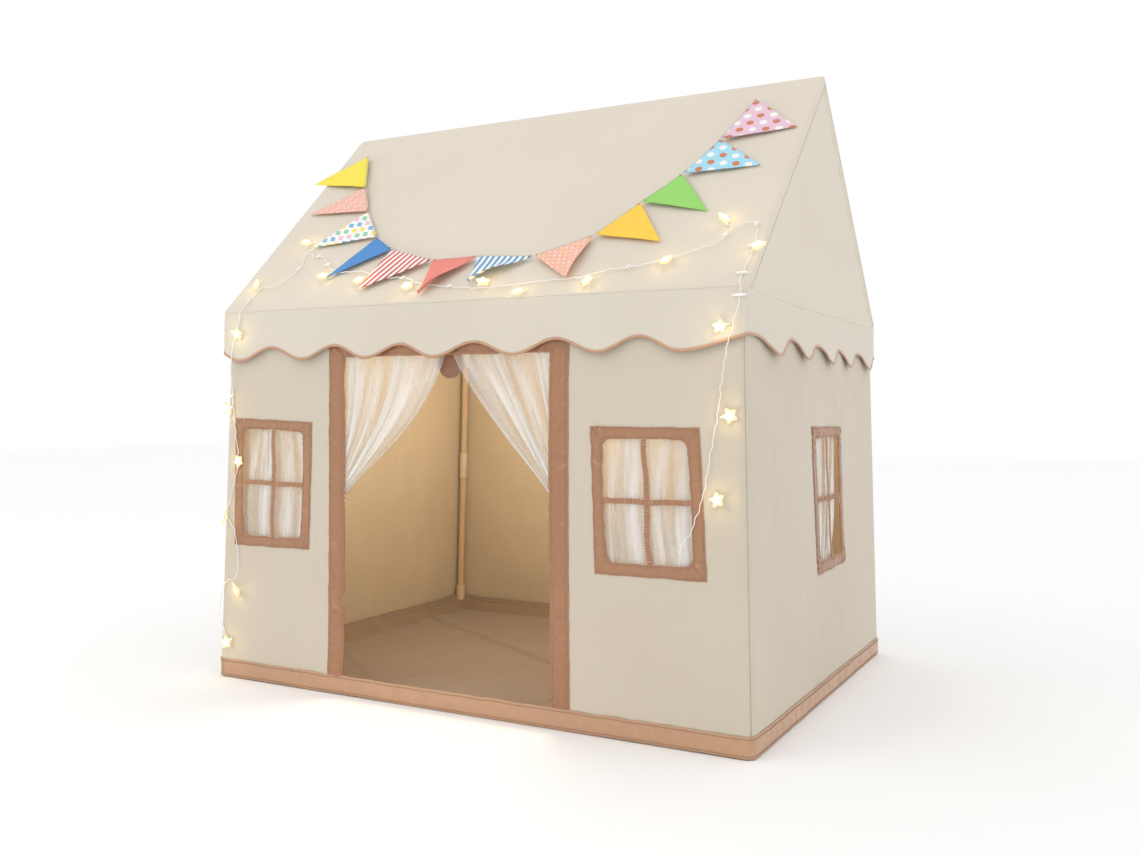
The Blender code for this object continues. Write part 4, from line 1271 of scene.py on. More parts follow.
def muntin(skin, wall, start, end, seed, lift):
    """A gathered bar of cloth across a window, wrinkled all along."""
    line = resampled([(*start, 0.0), (*end, 0.0)], 0.0011)
    run = lengths_along(line)
    x, up = line[:, 0], line[:, 1]
    wander = 0.0016 * ripples(run, 0 * run, seed, 0.10)
    sideways = np.array([end[1] - start[1], start[0] - end[0]], float)
    sideways = sideways / np.linalg.norm(sideways)
    x = x + wander * sideways[0]
    up = up + wander * sideways[1]
    centre = on_cloth(wall, x, up, lift)
    out = unit(on_cloth(wall, x, up, lift + 0.001) - centre)
    side = unit(np.cross(np.gradient(centre, axis=0), out))
    ruche = np.cos(run * 2 * math.pi / 0.0056 + 1.2 * np.sin(run * 2 * math.pi / 0.031 + seed))
    wide = MUNTIN / 2 - 0.0007 + 0.0005 * ruche
    high = 0.0016 + 0.0006 * ruche
    skin.tube(centre, side, out, wide, high, sides=14, paint=2)


def make_window_trim(name, window):
    skin = Skin()
    window_border(skin, name, window)
    wall = window["wall"]
    (x, up), (half_x, half_up) = window["middle"], window["half"]
    muntin(skin, wall, (x, up - half_up - 0.002), (x, up + half_up + 0.002), 171, -0.0004)
    muntin(skin, wall, (x - half_x - 0.002, up), (x + half_x + 0.002, up), 172, 0.0008)
    piece = skin.build(f"window_trim_{name}", TRIM_WINDOW, THREAD_BROWN, TRIM_RUCHED)
    return placed(piece, nodes=[f"window_frame_{name}"])


def make_door_trim():
    """The brown border up both jambs and over the door, mitred at its upper corners."""
    skin = Skin()
    low = HEM_TOP - 0.003
    top = DOOR_TOP + DOOR_TRIM
    left, right = DOOR_LEFT - DOOR_TRIM, DOOR_RIGHT + DOOR_TRIM
    overlap = 0.0012
    inner_left, inner_right, inner_top = DOOR_LEFT + overlap, DOOR_RIGHT - overlap, DOOR_TOP - overlap
    sides = [
        ((left, low), (left, top), (inner_left, low), (inner_left, inner_top)),
        ((left, top), (right, top), (inner_left, inner_top), (inner_right, inner_top)),
        ((right, top), (right, low), (inner_right, inner_top), (inner_right, low)),
    ]
    for index, (outer_start, outer_end, inner_start, inner_end) in enumerate(sides):
        count = 360 if index != 1 else 260
        share = np.linspace(0, 1, count)[:, None]
        outer = np.array(outer_start) * (1 - share) + np.array(outer_end) * share
        inner = np.array(inner_start) * (1 - share) + np.array(inner_end) * share
        if index != 1:
            pinch = np.exp(-((inner[:, 1] - 0.425) / 0.022) ** 2)
            scallop = 0.0016 * np.cos(inner[:, 1] * 2 * math.pi / 0.011) * pinch
            inner[:, 0] += scallop + 0.0012 * ripples(inner[:, 1], 0 * share[:, 0], 190 + index, 0.18)
        strip(skin, "front", outer, inner, 0.0017, 180 + 7 * index)
    piece = skin.build("door_border", TRIM, THREAD_BROWN)
    return placed(piece, nodes=["door_trim"])


def make_header_tab():
    """The rounded flap that hangs from the middle of the door's header, behind the curtains."""
    skin = Skin()
    middle_x, half, top, low = -0.020, 0.0300, DOOR_TOP + 0.006, 0.686
    u = np.linspace(-1, 1, 33)[None, :]
    v = np.linspace(0, 1, 25)[:, None]
    bottom = low + (1 - np.sqrt(np.maximum(1 - np.abs(u) ** 2.4, 0))) * 0.034
    up = top + (bottom - top) * v
    x = middle_x + half * u
    crown = (1 - np.abs(u) ** 4) * (1 - v ** 6)
    front = -0.0205 + 0.0022 * np.sqrt(np.maximum(crown, 0)) + 0.0006 * ripples(x, up, 201, 0.02)
    marks = (x - middle_x, top - up)
    skin.grid(on_wall("front", x, up, front), turned=True, marks=marks)
    skin.grid(on_wall("front", x, up, -0.0210 + 0 * front), marks=marks)
    edge = 0.88
    line = np.stack([(middle_x + half * u * edge)[0], (top + (bottom - top) * edge)[0]], -1)
    path = on_wall("front", line[:, 0], line[:, 1], -0.0185)
    skin.dashes(path, FRONT_OUT, paint=1)
    # The tab wears the darker copy of the trim, as painted shade from the curtains in front of it.
    return placed(skin.build("header_tab", TRIM_PAINTED_SHADE, THREAD_BROWN))


# ---- Round the perimeter ----
def ring_places(half_x, half_y, radius, step):
    """Places round a rounded rectangle: each place's distance along the square outline, its
    point and its way out. It starts at the front left corner and goes along the front."""
    corners = [(-half_x, -half_y), (half_x, -half_y), (half_x, half_y), (-half_x, half_y)]
    length, points, outs = [], [], []
    start = 0.0
    for index in range(4):
        a, b = np.array(corners[index]), np.array(corners[(index + 1) % 4])
        side = np.linalg.norm(b - a)
        along = (b - a) / side
        out = np.array([along[1], -along[0]])
        straight = np.linspace(radius, side - radius, max(2, round((side - 2 * radius) / step)))
        for place in straight:
            length.append(start + place)
            points.append(a + along * place)
            outs.append(out)
        centre = b - along * radius - out * radius
        for share in np.linspace(0, 1, 8)[1:-1]:
            angle = share * math.pi / 2
            way = out * math.cos(angle) + along * math.sin(angle)
            length.append(start + side - radius + 2 * radius * share)
            points.append(centre + way * radius)
            outs.append(way)
        start += side
    return np.array(length), np.array(points), np.array(outs)


def valance_phase(place):
    """The turn through the valance's lobes at a distance round the roof; 0 at a low point."""
    round_trip = 4 * (ROOF_HALF_X + ROOF_HALF_Y)
    lows = FRONT_LOBES + SIDE_LOBES
    rest = np.linspace(lows[-1], lows[0] + round_trip, 14)[1:]
    lows = np.array([rest[-2] - round_trip, *lows, *rest, lows[1] + round_trip])
    return np.interp(place, lows, np.arange(len(lows)) * 2 * math.pi)


def round_noise(place, seed, wavelength):
    """An uneven height that joins up with itself all the way round the tent."""
    round_trip = 4 * (ROOF_HALF_X + ROOF_HALF_Y)
    angle = place / round_trip * 2 * math.pi
    radius = round_trip / (2 * math.pi)
    return ripples(radius * np.cos(angle), radius * np.sin(angle), seed, wavelength)


def side_share(outs):
    """1 along the two ends of the tent and 0 along its front and back."""
    return np.abs(outs[:, 0]) ** 2


def seam_height(place, outs):
    """The height of the seam between the roof and the valance."""
    side = side_share(outs)
    from_corner = np.mod(place - 2 * ROOF_HALF_X, 2 * ROOF_HALF_X + 2 * ROOF_HALF_Y)
    from_corner = np.minimum(from_corner, 2 * ROOF_HALF_Y - from_corner)
    wavy = 0.0040 * round_noise(place, 211, 0.26)
    fall = side * smooth(0.010, 0.090, from_corner) * (wavy - 0.0095)
    return 0.8440 + 0.0005 * round_noise(place, 212, 0.3) + fall


def valance_edge(place, outs):
    """The height of the scalloped edge, which dips deeper along the two ends."""
    side = side_share(outs)
    phase = valance_phase(place)
    lobe = 1 - np.cos(phase) + 0.14 * side * (1 - np.cos(2 * phase))
    drift = (0.0012 + 0.0015 * side) * round_noise(place, 213, 0.5)
    return VALANCE_LOW - 0.0035 * side + (VALANCE_WAVE + 0.0030 * side) * lobe + drift


def valance_out(place, outs, share):
    """How far the valance stands out, a share of the way from its seam to its edge."""
    phase = valance_phase(place)
    side = side_share(outs)
    swing = (0.0022 + 0.0020 * side) * np.cos(phase) + (0.0006 + 0.0030 * side)
    billow = 0.0009 * np.sin(math.pi * share) * round_noise(place, 214, 0.4)
    folds = 0.0009 * share * round_noise(place, 215, 0.055)
    dip = -0.0042 * np.exp(-(share / 0.020) ** 2)
    gathers = 0.0005 * np.exp(-share / 0.18) * round_noise(place, 216, 0.030)
    return swing * share ** 1.5 + billow + folds + dip + gathers


BINDING_HALF = 0.0030


def make_valance():
    """The scalloped skirt below the eave, with its brown binding along the edge."""
    place, points, outs = ring_places(ROOF_HALF_X, ROOF_HALF_Y, ROOF_ROUND, 0.0055)
    top = seam_height(place, outs)
    low = valance_edge(place, outs) + 0.001
    share = np.concatenate([np.linspace(0, 0.08, 5), np.linspace(0.08, 1, 20)[1:]])
    rows = []
    for part in share:
        flat = points + outs * valance_out(place, outs, part)[:, None]
        rows.append(np.concatenate([flat, (top + (low - top) * part)[:, None]], 1))
    skin = Skin()
    grid = np.array(rows)
    skin.grid(grid, closed=True, turned=True)
    out3 = np.concatenate([outs, np.zeros((len(outs), 1))], 1)
    piece = thickened(skin.build("valance_cloth", CANVAS_VALANCE_LIT, CANVAS_INSIDE_SHADED), inside=1)
    placed(piece)
    binding = Skin()
    loop = np.concatenate([grid[-1], grid[-1][:2]])
    loop_out = np.concatenate([out3, out3[:2]])
    along = unit(np.gradient(loop, axis=0))
    down = unit(np.cross(along, loop_out))
    pucker = round_noise(np.concatenate([place, place[:2]]), 217, 0.014)
    wide = BINDING_HALF * (1 + 0.10 * pucker)
    high = 0.0017 * (1 + 0.15 * pucker)
    centre = loop - np.array([0, 0, 0.0008]) - loop_out * 0.0005
    binding.tube(centre, down, loop_out, wide, high, sides=14)
    stitch = centre + loop_out * 0.0017 - down * 0.0022 * np.sign(down[:, 2:3] + 1e-9)
    binding.dashes(stitch, loop_out, paint=1, radius=0.0002)
    bound = placed(binding.build("valance_binding", TRIM_BINDING, TRIM_BINDING))
    return piece


def make_hem():
    """The brown band round the foot of the walls, slightly full between its two seams."""
    place, points, outs = ring_places(BASE_HALF_X, BASE_HALF_Y, 0.020, 0.0045)
    low = 0.0008 + 0.0012 * np.abs(round_noise(place, 221, 0.3))
    top = HEM_TOP + 0.0009 * round_noise(place, 222, 0.09)
    rows, drop = [], np.linspace(0, HEM_TOP, 17)
    for share in drop / HEM_TOP:
        crown = 1 - abs(2 * share - 1) ** 3
        full = 0.0004 * crown + 0.0008 * crown * round_noise(place, 223, 0.14)
        pucker = 0.0008 * math.exp(-(1 - share) / 0.25) * (0.8 + round_noise(place, 224, 0.022))
        crease = 0.0007 * round_noise(place + share * 0.03, 225, 0.045) * crown
        tuck = -0.0006 * (1 - smooth(0.0, 0.14, share))
        flat = points + outs * (full + pucker + crease + tuck + 0.0006)[:, None]
        rows.append(np.concatenate([flat, (low + (top - low) * share)[:, None]], 1))
    grid = np.array(rows)
    skin = Skin()
    skin.grid(grid, closed=True, marks=(place[None], drop[:, None]))
    out3 = np.concatenate([outs, np.zeros((len(outs), 1))], 1)
    ring_out = np.concatenate([out3, out3[:1]])
    for row in (2, 14):
        ring = np.concatenate([grid[row], grid[row][:1]])
        skin.dashes(ring + ring_out * 0.0001, ring_out, radius=0.00025, paint=2)
    piece = thickened(skin.build("hem_band", TRIM_HEM, TRIM_HEM, THREAD_BROWN), 0.0016)
    placed(piece, nodes=["base_hem"])
    return piece


# ---- Roof ----
def roof_profile():
    """Places from the front seam over the ridge to the back seam: how far up the slope each
    is, the centre of the roof's rounding there, its way out, and which side it is on."""
    slope_out = SLOPE_OUT[1:]
    slope_up = SLOPE_UP[1:]
    eave = np.array([-ROOF_HALF_Y, EAVE_Z])
    tilt = math.atan2(slope_out[1], -slope_out[0])
    lift = ROOF_ROUND * math.tan(tilt / 2)
    centre_low = eave + np.array([ROOF_ROUND, -lift])
    reach = np.dot(np.array([0, RIDGE_Z]) - eave, slope_up)
    rows = []
    for drop in (0.0035, 0.0012):
        rows.append((-drop - lift, centre_low - [0, drop], np.array([-1.0, 0.0])))
    for share in np.linspace(0, 1, 7):
        angle = tilt * share
        rows.append((lift * (2 * share - 1), centre_low, np.array([-math.cos(angle), math.sin(angle)])))
    top = reach - ROOF_ROUND * math.tan(math.pi / 2 - tilt)
    for up in lines(0.0110, lift, 0.06, top)[1:]:
        rows.append((up, eave + slope_up * up - slope_out * ROOF_ROUND, slope_out))
    centre_top = rows[-1][1]
    for share in np.linspace(0, 1, 5)[1:]:
        angle = tilt + (math.pi / 2 - tilt) * share
        rows.append((top, centre_top, np.array([-math.cos(angle), math.sin(angle)])))
    back = [(up, centre * [-1, 1], out * [-1, 1]) for up, centre, out in rows[::-1][1:]]
    up = np.array([row[0] for row in rows + back])
    centre = np.array([row[1] for row in rows + back])
    out = np.array([row[2] for row in rows + back])
    return up, centre, out


def make_roof():
    """One sheet from eave to eave over the ridge, which rolls over both rakes to their hems."""
    up, centre, out = roof_profile()
    rows = len(up)
    middle = len(up) // 2
    inner = ROOF_HALF_X - ROOF_ROUND
    columns = []
    flange = np.linspace(RAKE_HEM, 0, 8)[:-1]
    turns = np.linspace(math.pi / 2, 0, 7)
    straight = lines(0.0110, -inner, inner)[1:-1]
    for side, reversed_order in ((-1, False), (1, True)):
        bits = [("flange", value) for value in flange] + [("turn", value) for value in turns]
        columns.append([(kind, value, side) for kind, value in (bits[::-1] if reversed_order else bits)])
    order = columns[0] + [("flat", value, 0) for value in straight] + columns[1]
    front = np.arange(rows) <= middle
    points = np.zeros((rows, len(order), 3))
    slack_side = np.where(front, 1.0, -1.0)
    hem_way = SLOPE_OUT[1:] * np.stack([slack_side, np.ones(rows)], -1)
    for index, (kind, value, side) in enumerate(order):
        if kind == "flat":
            lean = slope_sag(np.full(rows, value), up)
            lean = np.where(front, lean, slope_sag(np.full(rows, -value), up + 0.31))
            reach = ROOF_ROUND + lean * smooth(0, 0.01, up)
            gathers = 0.0005 * np.exp(-np.maximum(up, 0) / 0.02) * ripples(value, slack_side * 0.3, 241, 0.03)
            dip = -0.0030 * np.exp(-((up + 0.0048) / 0.0016) ** 2)
            yz = centre + out * (reach + gathers + dip)[:, None]
            points[:, index] = np.stack([np.full(rows, value), yz[:, 0], yz[:, 1]], -1)
        elif kind == "turn":
            yz = centre + out * (ROOF_ROUND * math.cos(value))
            x = side * (inner + ROOF_ROUND * math.sin(value))
            points[:, index] = np.stack([np.full(rows, x), yz[:, 0], yz[:, 1]], -1)
        else:
            share = value / RAKE_HEM
            yz = centre - hem_way * value
            y = np.where(front, np.minimum(yz[:, 0], 0), np.maximum(yz[:, 0], 0))
            roll = 0.0013 * np.sin(math.pi * share) - 0.0034 * share ** 4
            wave = 0.0007 * share * ripples(up, slack_side * 0.2, 245 + side, 0.06)
            tuck = 0.0045 * (1 - smooth(0.836, 0.846, yz[:, 1]))
            x = side * (ROOF_HALF_X + roll + wave - tuck)
            points[:, index] = np.stack([x, y, yz[:, 1]], -1)
    skin = Skin()
    skin.grid(points)
    flange_out = len(flange) - 3
    for column, side in ((flange_out, -1), (len(order) - 1 - flange_out, 1)):
        path = points[:, column]
        skin.dashes(path + [side * 0.0003, 0, 0], (side, 0, 0), paint=2)
    piece = thickened(skin.build("roof_canopy", CANVAS, CANVAS_INSIDE_SHADED, THREAD_CREAM), inside=1)
    placed(piece, nodes=["roof_cover"])
    return piece


def make_gable(side):
    """The triangle that closes one end of the roof, tucked under the rakes and the valance."""
    z = lines(0.0120, 0.828, EAVE_Z, RIDGE_Z - 0.014)
    half = np.where(z > EAVE_Z, ROOF_HALF_Y * (RIDGE_Z - z) / (RIDGE_Z - EAVE_Z), ROOF_HALF_Y)
    half = half - np.where(z > EAVE_Z, 0.0140, 0.0060)
    across = np.linspace(-1, 1, 85)
    y = half[:, None] * across[None]
    height = np.repeat(z[:, None], len(across), axis=1)
    inset = smooth(0, 0.16, half[:, None] - np.abs(y)) * smooth(EAVE_Z, EAVE_Z + 0.14, height)
    seed = 251 if side > 0 else 261
    slack = -0.0050 * inset + 0.0022 * inset * ripples(y, height, seed, 0.32)
    pulls = 0.0009 * np.exp(-(height - 0.838) / 0.045) * ripples(y, height * 0.4, seed + 1, 0.05)
    rake = 0.0007 * ripples(y * 0.7 + height * 0.7, y, seed + 2, 0.05) * (1 - inset)
    x = side * (ROOF_HALF_X - 0.0022 + slack + pulls + rake)
    skin = Skin()
    skin.grid(np.stack([x, y, height], -1), turned=side < 0)
    piece = thickened(skin.build(f"gable_{'right' if side > 0 else 'left'}", CANVAS, CANVAS_INSIDE_SHADED), inside=1)
    placed(piece)
    return piece


# ---- Curtains ----
def spline_line(knots):
    """A smooth line through flat knots, sampled every 2 mm."""
    points = smooth_through([Vector((*knot, 0.0)) for knot in knots], 12)
    return resampled([tuple(point) for point in points], 0.002)


def pleated(edge_a, edge_b, pleats, deep, seed, depth, across=150, along=90, tails=(0.0, 1.0)):
    """A gathered sheet between two edge lines, pleated along them. deep is the depth of its
    pleats at each place along, as a list to be spread from its first row to its last."""
    a, b = spline_line(edge_a), spline_line(edge_b)
    share_a = np.linspace(0, 1, len(a))
    share_b = np.linspace(0, 1, len(b))
    v = np.linspace(0, 1, along)
    first = np.stack([np.interp(v, share_a, a[:, k]) for k in (0, 1)], -1)
    last = np.stack([np.interp(v, share_b, b[:, k]) for k in (0, 1)], -1)
    u = np.linspace(0, 1, across)
    draw = random.Random(seed)
    knots = np.cumsum([0.0] + [draw.uniform(0.45, 1.65) for _ in range(pleats)])
    phase = np.interp(u, knots / knots[-1], np.arange(pleats + 1) * 2 * math.pi)
    weight = np.interp(u, knots / knots[-1], [draw.uniform(0.45, 1.0) for _ in range(pleats + 1)])
    slide = 1.3 * ripples(u[None] * 0.5, v[:, None] * 0.35, seed + 1, 0.5)
    wave = np.cos(phase[None] + slide)
    fine = 0.34 * np.cos(2.7 * phase[None] + 2.0 * slide + 1.0)
    size = np.interp(v, np.linspace(0, 1, len(deep)), deep)[:, None]
    flat = first[:, None] * (1 - u[None, :, None]) + last[:, None] * u[None, :, None]
    way = unit(last - first)[:, None]
    flat = flat + way * (0.45 * size * np.sin(phase[None] + slide))[..., None]
    out = depth + size * weight[None] * (wave + fine) / 1.34
    begin, end = tails
    return flat[..., 0], flat[..., 1], out, (u[None] + 0.05 * slide, (begin + (end - begin) * v)[:, None])


def make_door_curtain(side):
    """One half of the door's curtain: it fans from the header to its tie behind the jamb."""
    if side == "left":
        jamb, away = DOOR_LEFT, -1
        free = [
            (-0.024, CURTAIN_TOP), (-0.028, 0.728), (-0.056, 0.668), (-0.092, 0.615),
            (-0.141, 0.562), (-0.194, 0.515), (-0.248, 0.470), (-0.297, TIE_UP),
        ]
    else:
        jamb, away = DOOR_RIGHT, 1
        free = [
            (-0.012, CURTAIN_TOP), (-0.002, 0.728), (0.036, 0.672), (0.072, 0.628),
            (0.108, 0.586), (0.155, 0.535), (0.201, 0.485), (0.246, 0.432),
        ]
    tie = (jamb + away * 0.046, TIE_UP)
    wall_edge = [(jamb + away * 0.062, CURTAIN_TOP), (jamb + away * 0.056, 0.600), tie]
    seed = 301 if side == "left" else 341
    skin = Skin()
    sizes = [0.0016, 0.0030, 0.0046, 0.0056, 0.0044]
    x, up, out, marks = pleated(wall_edge, free, 9, sizes, seed, -MIDDLE_DEPTH, 240, 110)
    skin.grid(on_wall("front", x, up, out), turned=away > 0, marks=marks)
    tail_wall = [tie, (jamb + away * 0.070, 0.260), (jamb + away * 0.088, 0.092)]
    tail_free = [(jamb + away * 0.014, TIE_UP), (jamb + away * 0.013, 0.260), (jamb + away * 0.015, 0.092)]
    sizes = [0.0044, 0.0050, 0.0048]
    x, up, out, marks = pleated(tail_wall, tail_free, 9, sizes, seed, -MIDDLE_DEPTH, 180, 70, (1.0, 1.8))
    skin.grid(on_wall("front", x, up, out), turned=away > 0, marks=marks)
    piece = thickened(skin.build(f"door_sheer_{side}", SHEER_PLAIN), 0.0003)
    placed(piece, nodes=[f"door_curtain_{side}"])
    make_tieback(side, jamb + away * 0.033)
    return piece


def make_tieback(side, middle_x):
    """A brown band round the gathered curtain, sewn to the wall behind the jamb."""
    skin = Skin()
    turn = np.linspace(0, 2 * math.pi, 49)
    x = middle_x + 0.0215 * np.cos(turn)
    out = -0.0138 + 0.0078 * np.sin(turn)
    rows = []
    for up in np.linspace(-0.0075, 0.0075, 9):
        pinch = 1 - 0.05 * (up / 0.0075) ** 2 + 0.02 * np.cos(9 * turn)
        height = TIE_UP + up + 0.002 * np.cos(turn)
        rows.append(on_wall("front", middle_x + (x - middle_x) * pinch, height, out))
    skin.grid(np.array(rows), marks=(0.022 * turn[None], np.linspace(0, 0.015, 9)[:, None]))
    piece = thickened(skin.build(f"tieback_{side}", TRIM), 0.0009)
    return placed(piece)


def make_window_curtain(name, window):
    """The dotted voile behind a window, drawn in soft upright folds."""
    (x, up), (half_x, half_up) = window["middle"], window["half"]
    low, top = up - half_up - 0.016, up + half_up + 0.016
    left, right = x - half_x - 0.016, x + half_x + 0.016
    seed = {"front_left": 381, "front_right": 401, "right": 421}[name]
    wall = window["wall"]
    skin = Skin()
    free, pleats = [(right, top), (right, low)], 7
    if name == "right":
        # The one at the side is drawn back from its right edge.
        pleats = 6
        free = [
            (right + 0.004, top), (right - 0.014, up + 0.110), (right - 0.030, up + 0.045),
            (right - 0.034, up), (right - 0.052, up - 0.070), (x + 0.010, low),
        ]
    sizes = [0.0016, 0.0034, 0.0038, 0.0030]
    depth = -MIDDLE_DEPTH - 0.0008
    px, pu, out, marks = pleated([(left, top), (left, low)], free, pleats, sizes, seed, depth, 150, 80)
    px, pu = warped(wall, px, pu)
    skin.grid(on_wall(wall, px, pu, out), turned=True, marks=marks)
    piece = thickened(skin.build(f"window_sheer_{name}", SHEER_DOTTED), 0.0003)
    placed(piece, nodes=[f"window_curtain_{name}"])
    return piece


# ---- Floor mat ----
# Where each fold crease starts and ends, and how high it stands.
MAT_CREASES = [
    ((-0.62, 0.30), (0.62, -0.42), 0.0085), ((-0.10, 0.47), (0.62, 0.10), 0.0050),
    ((-0.62, -0.12), (-0.20, -0.47), 0.0050),
]


def make_mat():
    """A thin padded mat. Its edges ride up over the base rails, and it keeps the creases that it
    was folded on."""
    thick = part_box("floor_mat")[1].z
    half_x, half_y, corner = BASE_HALF_X - 0.0065, BASE_HALF_Y - 0.0065, 0.016
    u, v = np.meshgrid(lines(0.0070, -half_x, half_x), lines(0.0070, -half_y, half_y))
    over_x = np.maximum(np.abs(u) - (half_x - corner), 0)
    over_y = np.maximum(np.abs(v) - (half_y - corner), 0)
    reach = np.hypot(over_x, over_y)
    pull = np.where((over_x > 0) & (over_y > 0), np.maximum(over_x, over_y) / np.maximum(reach, 1e-9), 1.0)
    x = np.sign(u) * (np.abs(u) - over_x + over_x * pull)
    y = np.sign(v) * (np.abs(v) - over_y + over_y * pull)
    inside = np.minimum(half_x - np.abs(u), half_y - np.abs(v))
    crown = np.sqrt(1 - (1 - np.clip(inside / 0.006, 0, 1)) ** 2)
    soft = 0.0014 * ripples(x, y, 442, 0.30) + 0.0005 * ripples(x, y, 443, 0.09)
    for (ax, ay), (bx, by), deep in MAT_CREASES:
        run = math.hypot(bx - ax, by - ay)
        off = ((x - ax) * (by - ay) - (y - ay) * (bx - ax)) / run + 0.006 * ripples(x, y, 444, 0.20)
        valley = 0.9 * np.exp(-((off - 0.008) / 0.0085) ** 2)
        soft = soft + deep * (np.exp(-np.abs(off) / 0.022) - valley)
    wave = 0.008 * ripples(x, y, 445, 0.16)
    lift = 0.0195 * (1 - smooth(0.022, 0.052, inside + wave))
    lift = lift + 0.0012 * ripples(x, y, 446, 0.07) * (inside < 0.05)
    to_corner = np.hypot(half_x - np.abs(u), half_y - np.abs(v))
    lift = lift + 0.0050 * (1 - smooth(0.050, 0.120, to_corner)) * (1 - smooth(0.022, 0.060, inside))
    lift = lift * smooth(-0.01, 0.02, inside + 0.01)
    turned_up = (1 - smooth(0.004, 0.016, inside)) * (1 - smooth(-0.30, 0.25, x)) * smooth(-0.44, -0.34, y)
    lift = lift + 0.0190 * turned_up
    middle = 0.0010 + thick / 2 + lift + 0.5 * soft * smooth(0.02, 0.06, inside)
    half = 0.0002 + (thick / 2 - 0.0004) * crown
    skin = Skin()
    skin.grid(np.stack([x, y, middle + half + 0.5 * soft * np.clip(inside / 0.03, 0, 1)], -1))
    skin.grid(np.stack([x, y, np.maximum(middle - half, 0.0004)], -1), turned=True)
    piece = skin.build("padded_mat", quilt("mat_fabric"))
    piece.modifiers.new("close", "WELD").merge_threshold = 0.0005
    placed(piece, nodes=["floor_mat"])
    return piece


# ---- Frame and hard parts ----
SHARP_ANGLE = math.radians(35)


def shaded(node, material):
    mesh = node.data
    mesh.materials.clear()
    mesh.materials.append(material)
    mesh.shade_smooth()
    mesh.set_sharp_from_angle(angle=SHARP_ANGLE)


def rounded(node, width):
    step = node.modifiers.new("soft_edges", "BEVEL")
    step.width = width
    step.segments = 3
    step.limit_method = "ANGLE"
    step.angle_limit = SHARP_ANGLE
    step.harden_normals = False


def finish_hard_parts():
    tilt = math.atan2(ROOF_HALF_Y, RIDGE_Z - EAVE_Z)
    woods = {
        "post": wood("wood_post", (0, 0, 0)),
        "across": wood("wood_across", (0, math.pi / 2, 0)),
        "deep": wood("wood_deep", (math.pi / 2, 0, 0)),
        "rafter_front": wood("wood_rafter_front", (tilt, 0, 0)),
        "rafter_back": wood("wood_rafter_back", (-tilt, 0, 0)),
    }
    for name, node in NODES.items():
        if name.startswith("post"):
            shaded(node, woods["post"])
        elif name.startswith("rafter_front") or name.startswith("rafter_back"):
            shaded(node, woods[name[:name.rindex("_")]])
        elif name.endswith("rail_front") or name.endswith("rail_back") or name == "ridge_pole":
            shaded(node, woods["across"])
        elif "_rail_" in name:
            shaded(node, woods["deep"])
        elif name.startswith("base_connector"):
            shaded(node, COUPLING)
        elif "_connector_" in name:
            shaded(node, CONNECTOR_PLASTIC)
        elif name in ("battery_box", "battery_cover"):
            shaded(node, BOX_PLASTIC)
            rounded(node, 0.0006)
        elif name == "battery_switch":
            shaded(node, SWITCH_PLASTIC)
            rounded(node, 0.0005)


SLEEVE_Z = 0.41
# The sleeve's outline: distance up from its foot, and radius.
SLEEVE = [
    (0.0, 0.0101), (0.0006, 0.0114), (0.0020, 0.0122), (0.008, 0.0122), (0.0095, 0.0118),
    (0.011, 0.0122), (0.069, 0.0122), (0.0705, 0.0118), (0.072, 0.0122), (0.078, 0.0122),
    (0.0794, 0.0114), (0.080, 0.0101),
]


def make_pole_couplings():
    """Each post is two lengths of pole, joined half way up by a moulded sleeve."""
    for side in ("left", "right"):
        for end in ("front", "back"):
            low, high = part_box(f"post_{end}_{side}")
            lean_x = LEAN_X * (1 if side == "left" else -1)
            lean_y = LEAN_Y * (1 if end == "front" else -1)
            radius = (high.x - low.x - abs(lean_x) * (high.z - low.z) / EAVE_Z) / 2
            centre_x = low.x + radius if side == "left" else high.x - radius
            centre_y = low.y + radius if end == "front" else high.y - radius
            line = Vector((lean_x, lean_y, EAVE_Z)).normalized()
            base = Vector((centre_x, centre_y, 0)) + line * (SLEEVE_Z - low.z)
            base.z = SLEEVE_Z
            run, ring = np.array(SLEEVE).T
            path = np.array(base) + run[:, None] * np.array(line)
            skin = Skin()
            skin.tube(path, (1, 0, 0), (0, 1, 0), ring, ring, sides=32)
            placed(skin.build(f"pole_coupling_{end}_{side}", COUPLING))


COUPLING = moulded("coupling_plastic", (0.62, 0.47, 0.30), 0.40)


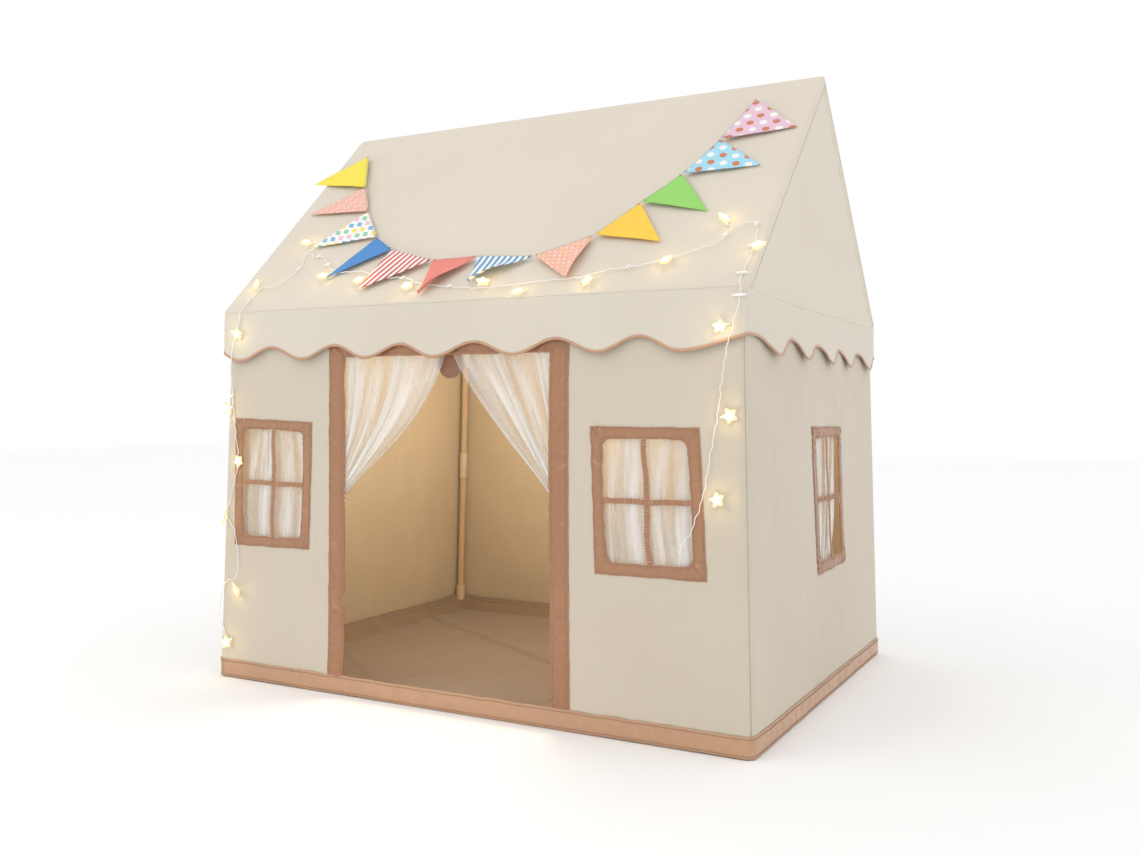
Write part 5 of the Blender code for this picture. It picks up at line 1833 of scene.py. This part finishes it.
# ---- Stage ----
def make_stage():
    """A plain pale floor, and soft studio light from above, in front and the sides."""
    mesh = bpy.data.meshes.new("studio_floor")
    half = 14.0
    corners = [(-half, -half, 0), (half, -half, 0), (half, half, 0), (-half, half, 0)]
    mesh.from_pydata(corners, [], [(0, 1, 2, 3)])
    floor = bpy.data.objects.new("studio_floor", mesh)
    floor.location.z = -0.0005
    bpy.context.scene.collection.objects.link(floor)
    paint = Paint("studio_floor", 0.9, specular=0.2)
    paint.colour(paint.mix(paint.between(paint.noise(3.0), 0.3, 0.7), (0.97, 0.97, 0.97), (0.98, 0.98, 0.98)))
    mesh.materials.append(paint.material)

    world = bpy.data.worlds.new("studio")
    bpy.context.scene.world = world
    world.use_nodes = True
    sky = world.node_tree.nodes["Background"]
    sky.inputs["Color"].default_value = (1.0, 1.0, 1.0, 1.0)
    sky.inputs["Strength"].default_value = 1.0
    soft_light("key", (-2.4, -3.4, 3.6), (0, 0, 0.6), 3.0, 26.0, (1.0, 0.985, 0.96))
    soft_light("fill", (4.2, -1.2, 2.2), (0.3, 0, 0.5), 2.4, 4.0, (1.0, 0.97, 0.96))
    data = bpy.data.lights.new("through_the_cloth", "POINT")
    data.energy = 15.5
    data.color = (1.0, 0.95, 0.85)
    data.shadow_soft_size = 0.30
    inner = bpy.data.objects.new("through_the_cloth", data)
    inner.location = (-0.05, 0.0, 0.76)
    inner.visible_camera = False
    bpy.context.scene.collection.objects.link(inner)
    bpy.context.scene.view_settings.view_transform = "Standard"


def soft_light(name, place, target, size, power, colour):
    data = bpy.data.lights.new(name, "AREA")
    data.size = size
    data.energy = power
    data.color = colour
    light = bpy.data.objects.new(name, data)
    light.location = place
    light.rotation_mode = "QUATERNION"
    light.rotation_quaternion = (Vector(target) - Vector(place)).to_track_quat("-Z", "Y")
    light.visible_camera = False
    bpy.context.scene.collection.objects.link(light)
    return light


# ---- The whole tent ----
make_camera()
make_light_string()
make_bunting()

walls = {wall: make_wall(wall) for wall in WALLS}
door_border = make_door_trim()
header_tab = make_header_tab()
window_trims = {name: make_window_trim(name, window) for name, window in WINDOWS.items()}
wall_height = WALL_TOP - HEM_TOP
window_area = {name: 4 * window["half"][0] * window["half"][1] for name, window in WINDOWS.items()}
front_area = 2 * BASE_HALF_X * wall_height - (DOOR_RIGHT - DOOR_LEFT) * (DOOR_TOP - HEM_TOP)
front_area -= window_area["front_left"] + window_area["front_right"]
make_hem()
make_roof()
make_gable(1)
make_gable(-1)
make_valance()
make_door_curtain("left")
make_door_curtain("right")
for window_name, window_data in WINDOWS.items():
    make_window_curtain(window_name, window_data)
make_mat()
finish_hard_parts()
make_pole_couplings()
make_stage()
